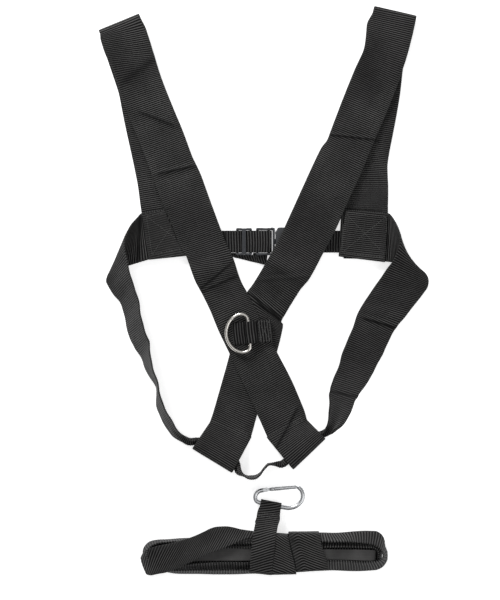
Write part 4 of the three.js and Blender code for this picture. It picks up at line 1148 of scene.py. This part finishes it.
def prong(name, sign, body, node):
    p = [(12.7, 8.1), (22.0, 8.4), (29.6, 8.7), (31.2, 10.1), (31.3, 10.9), (30.5, 12.0), (27.6, 13.8), (24.7, 15.2), (23.3, 15.3), (22.6, 14.6),
         (21.9, 12.0), (21.2, 11.4), (12.7, 11.3)]
    ridges = [rect(xr, xr + 0.55, min(sign * 14.1, sign * 15.4), max(sign * 14.1, sign * 15.4), 3.0, 6.2, 0.25, 0.2) for xr in (23.7, 24.7)]
    ob = moulding(name, [outline([(x, sign * y) for x, y in p], 2.6, 6.6, 0.5)] + ridges, M_PLASTIC, voxel=0.22, smooth=3)
    put(ob, body, "buckle_plastic", node)


prong("prong_up", 1, "prong_upper", "buckle_prong_upper")
prong("prong_down", -1, "prong_lower", "buckle_prong_lower")

shell = []
for z0, z1 in ((0.3, 1.95), (7.25, 8.9)):
    shell.append(outline([(13.0, -10.5), (15.5, -15.4), (17.0, -16.0), (35.0, -16.0), (36.4, -15.2), (36.4, 15.2), (35.0, 16.0), (17.0, 16.0), (15.5, 15.4), (13.0, 10.5)], z0, z1, 0.6))
shell += [rect(33.7, 36.6, -15.8, 15.8, 0.5, 8.7, 1.0, 0.6), rect(35.6, 44.0, 13.3, 16.0, 0.9, 8.3, 1.1, 0.7), rect(35.6, 44.0, -16.0, -13.3, 0.9, 8.3, 1.1, 0.7),
          rect(41.0, 44.0, -14.0, 14.0, 3.2, 6.0, 0.8, 0.8), rect(20.0, 30.0, -4.6, -3.9, 8.6, 9.2, 0.3, 0.3), rect(20.0, 30.0, 3.9, 4.6, 8.6, 9.2, 0.3, 0.3)]
female = moulding("buckle_socket", shell, M_PLASTIC, voxel=0.28, smooth=3)
put(female, "harness", "buckle_plastic", "buckle_female")

# ---- D-ring, tab and base ------------------------------------------------------------------------------
D_CENTRE = np.array([-17.05, -47.05, 10.7]) + SHIFT
D_ALONG = np.array([-2.7, 28.5, 0.0]); D_ALONG /= np.linalg.norm(D_ALONG)
D_OUT = np.array([-D_ALONG[1], D_ALONG[0], 0.0])
TILT = math.radians(5)
D_ARM = np.array([D_OUT[0] * math.cos(TILT), D_OUT[1] * math.cos(TILT), -math.sin(TILT)])
half_d = [(14, 0), (18.4, 1.0), (21.0, 4.2), (21.7, 8.3), (20.4, 13.4), (17.0, 18.6), (12.0, 22.7), (6.0, 25.1)]
ring2 = [(0, 0)] + half_d + [(0, 25.9)] + [(-u, v) for u, v in half_d[::-1]]
dpath = spline([D_CENTRE + D_ALONG * u + D_ARM * v for u, v in ring2], 220, closed=True)
weld = np.linalg.norm(dpath - (D_CENTRE + D_ALONG * 17.5 + D_ARM * 0.9), axis=1)
radii = 2.0 + 0.11 * np.exp(-(weld / 0.7) ** 2) + 0.02 * np.sin(np.arange(len(dpath)) * 0.9)
d_ring = swept("d_ring_wire", dpath, 2.0, 28, np.cross(D_ALONG, D_ARM), M_NICKEL, closed=True, radii=radii)
put(d_ring, "d_ring", "nickel_wire", "d_ring")


def tab_at(v, z, width=25.2, t=1.45, yaw=0.0, bend=0.0):
    c = D_CENTRE - D_OUT * v
    al = D_ALONG * math.cos(yaw) + D_OUT * math.sin(yaw)
    a, b = c + al * width / 2, c - al * width / 2
    return [a[0], a[1], z + bend, b[0], b[1], z - bend, t]


TAB_R = 3.1
BAR_Z = D_CENTRE[2]
trows = [tab_at(25.0, 7.6), tab_at(18, 7.6), tab_at(9, 7.62), tab_at(4, 7.6)]
for k in range(13):
    w = -math.pi / 2 + k * math.pi / 12
    trows.append(tab_at(-TAB_R * math.cos(w), BAR_Z + TAB_R * math.sin(w)))
trows += [tab_at(3.4, 13.6), tab_at(6.0, 12.9), tab_at(7.7, 11.6), tab_at(8.8, 10.0), tab_at(10.0, 9.45), tab_at(12, 9.4), tab_at(18, 9.4), tab_at(25.2, 9.45)]
fold_line = [tuple((D_CENTRE - D_OUT * 8.9 + D_ALONG * u)[:2]) for u in (14.5, -14.5)]
# the fold line across the tab is darkened with strong painted shade (dark=5.0)
tab = strap("d_ring_loop", trows, M_WEB25, RIB25, amp=0.15, count=12, seed=7,
            creases=[(*fold_line[0], *fold_line[1], -0.4, 2.2, "valley")], dark=5.0)
put(tab, "harness", "webbing_25mm", "d_ring_tab")
base = strap("d_ring_patch", [tab_at(-18.4, 5.75, t=1.5), tab_at(-10, 5.72, t=1.5), tab_at(0, 5.7, t=1.5), tab_at(12, 5.7, t=1.5), tab_at(25.8, 5.7, t=1.5)],
             M_WEB25, RIB25, amp=0.19, count=12, seed=8)
put(base, "harness", "webbing_25mm", "d_ring_base")

# ---- snap hook ------------------------------------------------------------------------------------------
HOOK_Z = 4.9
hook_points = [(-0.6, -226.2), (-5.2, -227.3), (-8.9, -230.4), (-10.2, -234.6), (-8.9, -238.5), (-5.4, -240.45), (-2.2, -241.1),
               (5.6, -242.65), (13.5, -244.2), (21.3, -245.75), (29.5, -246.6), (37.0, -244.2), (42.5, -238.8), (44.2, -232.0), (42.6, -226.6), (39.8, -223.7)]
hpath = spline([(x + SHIFT[0], y + SHIFT[1], HOOK_Z) for x, y in hook_points], 230)
PIN = np.array([2.6 + SHIFT[0], -225.75 + SHIFT[1], HOOK_Z])
TIP = np.array([36.0 + SHIFT[0], -222.9 + SHIFT[1], HOOK_Z])
body_wire = swept("hook_wire", hpath, 2.6, 24, (0, 0, 1), M_ZINC)
put(body_wire, "snap_hook", "zinc_steel", "carabiner_body")


def turned(parts, origin, angle):
    """Solids drawn along +X from the origin, turned about Z and moved into place."""
    ca, sa = math.cos(angle), math.sin(angle)
    out = []
    for v, f in parts:
        v = np.asarray(v, float)
        out.append((np.c_[v[:, 0] * ca - v[:, 1] * sa + origin[0], v[:, 0] * sa + v[:, 1] * ca + origin[1], v[:, 2] + origin[2]], f))
    return out


gate_dir = (TIP - PIN) / np.linalg.norm(TIP - PIN)
gate_len = float(np.linalg.norm(TIP - PIN))
gate_ang = math.atan2(gate_dir[1], gate_dir[0])
cheeks = [prism(rounded_rect(-4.4, 2.4, -2.1, 2.1, 1.6), z0, z1, 0.3) for z0, z1 in ((1.5, 2.6), (-2.6, -1.5))]
fork = moulding("hook_fork", turned(cheeks, PIN, 0.12), M_ZINC, voxel=0.18, smooth=2)
put(fork, "snap_hook", "zinc_steel")
nose = moulding("hook_nose", turned([prism(rounded_rect(-2.6, 1.7, -1.9, 1.9, 0.9), -1.2, 1.2, 0.4)], (41.3 + SHIFT[0], -224.9 + SHIFT[1], HOOK_Z), 2.33), M_ZINC, voxel=0.18, smooth=2)
put(nose, "snap_hook", "zinc_steel")


def cylinder(name, centre, axis, radius, length, material, sides=28, dome=0.35):
    axis = np.asarray(axis, float) / np.linalg.norm(axis)
    ref = np.array([0, 0, 1.0]) if abs(axis[2]) < 0.9 else np.array([1.0, 0, 0])
    n1 = np.cross(axis, ref); n1 /= np.linalg.norm(n1)
    p = np.array([np.asarray(centre) + axis * s for s in np.linspace(-length / 2, length / 2, 10)])
    r = np.full(10, radius)
    return swept(name, p, radius, sides, n1, material, radii=r)


pin = cylinder("hook_pin", PIN, (0, 0, 1), 0.75, 4.4, M_ZINC, sides=20)
put(pin, "snap_hook", "zinc_steel", "carabiner_pin")
s_along = np.linspace(4.9, gate_len - 0.2, 60)
gate_path = [PIN + gate_dir * s for s in s_along]
gr = 2.2 + 0.0 * s_along
gr[:3] = (1.9, 2.1, 2.2)
gr[(s_along > 8.0) & (s_along < 9.3)] = 2.02
gr[s_along > gate_len - 5.0] = 2.12
gate = swept("gate_barrel", gate_path, 2.2, 24, (0, 0, 1), M_ZINC, radii=gr)
put(gate, "hook_gate", "zinc_steel", "carabiner_gate")
lug = moulding("gate_lug", turned([prism(rounded_rect(-1.5, 6.4, -1.6, 1.6, 1.3), -1.15, 1.15, 0.35)], PIN, gate_ang), M_ZINC, voxel=0.16, smooth=2)
put(lug, "hook_gate", "zinc_steel")

# ---- pull strap -----------------------------------------------------------------------------------------
def free_rows(table, t=1.7):
    return [list(r) + [t] for r in table]


hank = strap("pull_strap_coil", free_rows(HANK, 1.7), M_PULL, RIB25, amp=0.21, count=13, seed=9, waves=[(0.25, 43, 0.3, 0.5)])
put(hank, "pull_strap", "pull_webbing", "pull_strap_hank")
fill_rows = []
for k in range(4):
    zc = 3.6 + 3.0 * k
    xs = [-128.0, -100.0, 0.0, 90.0, 129.6] if k % 2 == 0 else [129.6, 90.0, 0.0, -100.0, -128.0]
    y0, y1 = -286.8 - 0.55 * k, -312.6 + 0.35 * k
    fill_rows += [[x, y0, zc, x, y1, zc, 1.5] for x in xs]
    if k < 3:
        sg = 1 if k % 2 == 0 else -1
        fill_rows += [[xs[-1] + sg * 1.5 * math.cos(w), y0, zc + 1.5 + 1.5 * math.sin(w), xs[-1] + sg * 1.5 * math.cos(w), y1, zc + 1.5 + 1.5 * math.sin(w), 1.5]
                      for w in (-math.pi / 3, -math.pi / 6, 0.0, math.pi / 6, math.pi / 3)]
filler = strap("pull_strap_folds", fill_rows, M_PULL, RIB25, amp=0.2, count=9, seed=16)
put(filler, "pull_strap", "pull_webbing")
flat_layer = strap("pull_strap_inner", free_rows(FLAT_LAYER, 1.6), M_FLAT, 1.1, amp=0.03, count=13, seed=10, cup=-0.6, waves=[(0.25, 61, 1.3, 0.6)])
put(flat_layer, "pull_strap", "pull_webbing")
low_layer = strap("pull_strap_edge", free_rows(LOW_LAYER, 1.5), M_PULL, RIB25, amp=0.18, count=11, seed=11)
put(low_layer, "pull_strap", "pull_webbing")
top_layer = strap("pull_strap_top", free_rows(TOP_LAYER, 1.7), M_PULL, RIB25, amp=0.22, count=15, seed=12,
                  bow=([0, 30, 60, 150], [0.4, 1.2, 0.5, 0.3]), waves=[(0.3, 39, 0.9, 1.0)])
put(top_layer, "pull_strap", "pull_webbing")


def around(xa, xb, high=-274.6, low=-322.9, z_top=24.2, z_low=1.0, t=1.6, start=-299.0, lap=-303.0, z_end=1.0, slant=(0, 0), top_slant=(0, 0)):
    """Rows of one turn round the bundle. xa, xb give the left and right edge at the high side and the low side."""
    (ah, bh), (al, bl) = xa, xb          # edges at the high side, edges at the low side
    r = 4.2
    path = [(start, z_low, 0.35)]
    path += [((start + high) / 2, z_low, 0.2), (high - r, z_low, 0.0)]
    for k in range(1, 6):
        w = -math.pi / 2 + k * math.pi / 12 * 1.2
        path.append((high - r + r * math.cos(w), z_low + r + r * math.sin(w), 0.0))
    path += [(high, (z_low + z_top) / 2, 0.0)]
    for k in range(0, 6):
        w = k * math.pi / 10
        path.append((high - r + r * math.cos(w), z_top - r + r * math.sin(w), 0.02 * k))
    mid = (high + low) / 2
    path += [(high - 12, z_top + 0.2, 0.22), (mid, z_top + 0.25, 0.5), (low + 12, z_top + 0.2, 0.78)]
    for k in range(0, 6):
        w = math.pi / 2 + k * math.pi / 10
        path.append((low + r + r * math.cos(w), z_top - r + r * math.sin(w), 0.9 + 0.02 * k))
    path += [(low, (z_low + z_top) / 2, 1.0)]
    for k in range(0, 6):
        w = math.pi + k * math.pi / 10
        path.append((low + r + r * math.cos(w), z_low + r + r * math.sin(w), 1.0))
    path += [((low + lap) / 2, z_end, 0.9), (lap, z_end, 0.8)]
    rows = []
    for y, z, f in path:
        g = min(1.0, max(0.0, (high - y) / (high - low)))
        ya, yb = (y + k * g ** 3 + m * (1 - g) ** 3 for k, m in zip(slant, top_slant))
        rows.append([ah + (al - ah) * f, ya, z, bh + (bl - bh) * f, yb, z, t])
    return rows


# the negative crease near the high side of this turn carries painted shade (dark=1.6)
wrap3 = strap("pull_strap_turn_a", around((28.4, 63.2), (37.2, 73.9), high=-274.9, low=-318.7, z_top=24.4, slant=(0.3, 3.0)), M_PULL, RIB25, amp=0.20, count=15,
              seed=13, skew=(-4.8, -0.45, 0.0, -11.5), waves=[(0.25, 31, 0.2, 1.5)],
              creases=[(36.5, -279.0, 42.5, -314.0, 0.7, 1.6, "valley"), (29.6, -275.5, 34.0, -285.5, -0.6, 1.4, "valley")], dark=1.6)
put(wrap3, "pull_strap", "pull_webbing", "pull_strap_wraps")
wrap2 = strap("pull_strap_turn_b", around((3.0, 27.7), (9.6, 37.3), high=-275.4, low=-321.2, z_top=26.2, slant=(0.0, 1.2), top_slant=(0.0, -2.4)), M_PULL, RIB25, amp=0.20, count=13, seed=14,
              skew=(0, 0.0, -5.0, -13.0), waves=[(0.25, 33, 1.1, 1.2)])
put(wrap2, "pull_strap", "pull_webbing")

SPINE = np.array([7.6, -243.05, HOOK_Z]) + SHIFT * np.array([1, 1, 0])
SPINE_DIR = np.array([26.9, -5.3, 0.0]); SPINE_DIR /= np.linalg.norm(SPINE_DIR)
SPINE_OUT = np.array([-SPINE_DIR[1], SPINE_DIR[0], 0.0])
LOOP_R = 3.9


def loop_at(s, z, width=23.8, t=1.5):
    c = SPINE + SPINE_OUT * s
    a, b = c - SPINE_DIR * width / 2, c + SPINE_DIR * width / 2
    return [a[0], a[1], z, b[0], b[1], z, t]


trow = [[-9.8, -264.5, 0.95, 16.6, -268.5, 0.95, 1.6], [-7.0, -256.0, 0.95, 19.0, -260.5, 0.95, 1.6], loop_at(-6.0, 0.98), loop_at(-2.5, 1.0)]
for k in range(13):
    w = -math.pi / 2 + k * math.pi / 12
    trow.append(loop_at(LOOP_R * math.cos(w), HOOK_Z + LOOP_R * math.sin(w)))
trow += [loop_at(-2.5, 8.85), [-6.0, -249.0, 9.0, 19.1, -253.6, 9.0, 1.6], [-8.3, -259.5, 14.6, 17.2, -262.9, 14.6, 1.6], [-10.4, -268.5, 22.6, 15.6, -270.6, 22.6, 1.6],
         [-11.9, -275.5, 26.4, 14.2, -276.6, 26.4, 1.6], [-12.6, -281.5, 27.6, 13.4, -282.4, 27.6, 1.6], [-13.6, -291.0, 27.9, 12.4, -291.8, 27.9, 1.6],
         [-14.5, -302.0, 27.9, 11.3, -303.0, 27.9, 1.6], [-15.4, -312.5, 27.5, 10.3, -313.6, 27.5, 1.6], [-15.8, -318.4, 26.4, 10.0, -319.3, 26.4, 1.6],
         [-16.0, -321.6, 23.6, 9.8, -322.2, 23.6, 1.6], [-16.1, -322.9, 19.0, 9.6, -323.2, 19.0, 1.6], [-16.2, -323.1, 12.0, 9.3, -323.2, 12.0, 1.6],
         [-16.2, -322.9, 5.6, 8.9, -323.0, 5.6, 1.6], [-16.0, -321.2, 2.2, 8.6, -321.4, 2.2, 1.6], [-15.9, -317.0, 1.0, 8.3, -317.2, 1.0, 1.6],
         [-15.4, -300.0, 0.95, 8.0, -300.4, 0.95, 1.6]]
for r in trow:
    if r[1] < -296.0:
        r[4] += 1.6 * ((-296.0 - r[1]) / 27.0) ** 2
        r[1] += 3.6 * ((-296.0 - r[1]) / 27.0) ** 2
tail = strap("pull_strap_tail_end", trow, M_PULL, RIB25, amp=0.20, count=13, seed=15, skew=(-4.4, 0.0, 0.0, 4.4), waves=[(0.3, 45, 0.7, 1.0)])
put(tail, "pull_strap", "pull_webbing", "pull_strap_tail")

# ---- stitches ---------------------------------------------------------------------------------------------
bpy.context.view_layer.update()


def stitches(name, body, runs, thick=0.42, length=2.5, pitch=3.1, tint=M_THREAD):
    """Lock stitches laid on the finished straps. runs: (target object, [(x, y), ...]) in mm."""
    verts, faces = [], []
    sides, rings = 8, 7
    for target, line in runs:
        line = np.asarray(line, float)
        seg = np.linalg.norm(np.diff(line, axis=0), axis=1)
        s = np.r_[0, np.cumsum(seg)]
        for at in np.arange(0.3, s[-1] - length, pitch):
            q0 = [np.interp(at, s, line[:, i]) for i in (0, 1)]
            q1 = [np.interp(at + length, s, line[:, i]) for i in (0, 1)]
            ends = []
            for q in (q0, ((q0[0] + q1[0]) / 2, (q0[1] + q1[1]) / 2), q1):
                hit, loc, nor, _ = target.ray_cast(Vector((q[0] * MM, q[1] * MM, 0.2)), Vector((0, 0, -1)))
                ends.append(None if not hit else np.array([loc.x, loc.y, loc.z]) / MM)
            if any(e is None for e in ends) or abs(ends[0][2] - ends[2][2]) > 1.6:
                continue
            p0, pm, p1 = ends
            lo = min(p0[2], p1[2])
            d = p1 - p0
            ln = np.linalg.norm(d); d /= ln
            up = np.array([0, 0, 1.0]); sd = np.cross(d, up); sd /= np.linalg.norm(sd); nn = np.cross(sd, d)
            base_i = len(verts)
            for r in range(rings):
                f = r / (rings - 1)
                rad = thick / 2 * max(0.18, math.sin(math.pi * min(max(f, 0.04), 0.96)) ** 0.45)
                c = p0 + (p1 - p0) * f
                c = c + nn * (0.16 * math.sin(math.pi * f) + 0.03)
                if 0.3 < f < 0.7:
                    c[2] = max(c[2], pm[2] + 0.06)
                for k in range(sides):
                    w = 2 * math.pi * k / sides + f * 1.1
                    verts.append(c + rad * (math.cos(w) * sd + 0.85 * math.sin(w) * nn))
            for r in range(rings - 1):
                for k in range(sides):
                    l = (k + 1) % sides
                    a, b = base_i + r * sides, base_i + (r + 1) * sides
                    faces.append((a + k, b + k, b + l, a + l))
            faces.append(tuple(base_i + k for k in range(sides)))
            faces.append(tuple(base_i + (rings - 1) * sides + k for k in range(sides))[::-1])
    v = np.array(verts)
    if signed_volume(v, faces) < 0:
        faces = [f[::-1] for f in faces]
    me = bpy.data.meshes.new(name)
    me.from_pydata((v * MM).tolist(), [], faces)
    me.polygons.foreach_set("use_smooth", np.ones(len(me.polygons), bool))
    me.materials.append(tint)
    me.update()
    ob = bpy.data.objects.new(name, me)
    scene.collection.objects.link(ob)
    return put(ob, body, "stitching")


def inset(quad, d):
    """A four-sided outline moved inwards by about d."""
    q = np.asarray(quad, float)
    c = q.mean(0)
    return [tuple(c + (p - c) * (1 - d / max(np.linalg.norm(p - c), 1e-6) * 1.35)) for p in q]


def box_cross(target, quad):
    q = [tuple(p) for p in quad]
    return [(target, q + [q[0]]), (target, [q[0], q[2]]), (target, [q[1], q[3]])]


LEFT_PATCH = [(-133.0, 84.2), (-90.5, 91.5), (-86.5, 48.5), (-126.6, 40.5)]
RIGHT_PATCH = [(92.3, 88.8), (139.4, 83.6), (141.5, 36.8), (89.2, 42.8)]
hl = [(6.8, -168.6), (47.0, -146.8)]
hr = [(-58.2, -148.6), (-17.6, -167.2)]
tab_c = [tuple((D_CENTRE - D_OUT * v + D_ALONG * u)[:2]) for v, u in ((11.0, 10.9), (23.6, 10.9), (23.6, -10.9), (11.0, -10.9))]
stitches("stitch_patches", "harness", box_cross(end_l, LEFT_PATCH) + box_cross(end_r, RIGHT_PATCH))
stitches("stitch_hems", "harness", [(left, hl), (left, beside(hl, 3.0)), (right, hr), (right, beside(hr, 3.0))])
stitches("stitch_tab", "harness", box_cross(tab, tab_c))
tl = [(-6.0, -251.8), (18.0, -255.9)]
stitches("stitch_pull_loop", "pull_strap", [(tail, tl), (tail, beside(tl, -3.4))])

# ---- the widths the sheets were cut to, passed to cut(), which does nothing with them -------------------------
def cut(ob, width, held, rests):
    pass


cut(right, 0.0495, "folded", ["side_strap"])
cut(left, 0.0495, "folded", ["shoulder_right", "side_strap"])
cut(side, 0.0500, "folded", ["shoulder_left", "shoulder_right"])
cut(end_l, 0.0420, "laid", ["side_strap"])
cut(end_r, 0.0495, "laid", ["side_strap"])
cut(part1, 0.0250, "laid", ["shoulder_left"])
cut(part2, 0.0250, "folded", ["strap_slider", "buckle_plug_frame"])
cut(part3, 0.0250, "folded", ["buckle_socket"])
cut(loose, 0.0105, "laid", ["chest_strap_left_loop"])
cut(tab, 0.0256, "folded", ["d_ring_wire", "d_ring_patch"])
cut(base, 0.0256, "laid", ["shoulder_left"])
cut(hank, 0.0256, "folded", ["pull_strap_inner"])
cut(filler, 0.0243, "folded", ["pull_strap_coil"])
cut(flat_layer, 0.0160, "laid", ["pull_strap_coil"])
cut(low_layer, 0.0160, "laid", ["pull_strap_coil"])
cut(top_layer, 0.0290, "folded", ["pull_strap_coil"])
cut(wrap3, 0.0320, "folded", ["pull_strap_coil"])
cut(wrap2, 0.0256, "folded", ["pull_strap_coil", "pull_strap_turn_a"])
cut(tail, 0.0256, "folded", ["pull_strap_turn_b", "hook_wire"])

# ---- floor and lights --------------------------------------------------------------------------------------------
fm, ft, fp = new_material("studio_floor")
fp.inputs["Base Color"].default_value = (0.92, 0.92, 0.92, 1)
fp.inputs["Roughness"].default_value = 0.9
fp.inputs["Specular IOR Level"].default_value = 0.1
fp.inputs["Emission Color"].default_value = (1, 1, 1, 1)
fp.inputs["Emission Strength"].default_value = 0.64
fme = bpy.data.meshes.new("floor")
fme.from_pydata([(-9, -9, -0.0006), (9, -9, -0.0006), (9, 9, -0.0006), (-9, 9, -0.0006)], [], [(0, 1, 2, 3)])
fme.materials.append(fm)
floor = bpy.data.objects.new("floor", fme)
scene.collection.objects.link(floor)

world = bpy.data.worlds.new("studio")
world.use_nodes = True
bg = world.node_tree.nodes["Background"]
bg.inputs[0].default_value = (1, 1, 1, 1)
bg.inputs[1].default_value = 0.27
scene.world = world


def area(name, place, target, size, power, size_y=None):
    d = bpy.data.lights.new(name, "AREA")
    d.energy = power
    d.shape = "RECTANGLE"
    d.size = size
    d.size_y = size_y or size
    o = bpy.data.objects.new(name, d)
    o.location = place
    o.rotation_mode = "QUATERNION"
    o.rotation_quaternion = (Vector(target) - Vector(place)).to_track_quat("-Z", "Y")
    scene.collection.objects.link(o)
    return o


area("key", (-1.0, 1.7, 1.15), (0, 0, 0), 0.8, 38)
area("fill", (1.3, -0.9, 1.7), (0, 0, 0), 1.3, 10)
area("top", (0.0, 0.1, 2.9), (0, 0, 0), 1.6, 8)
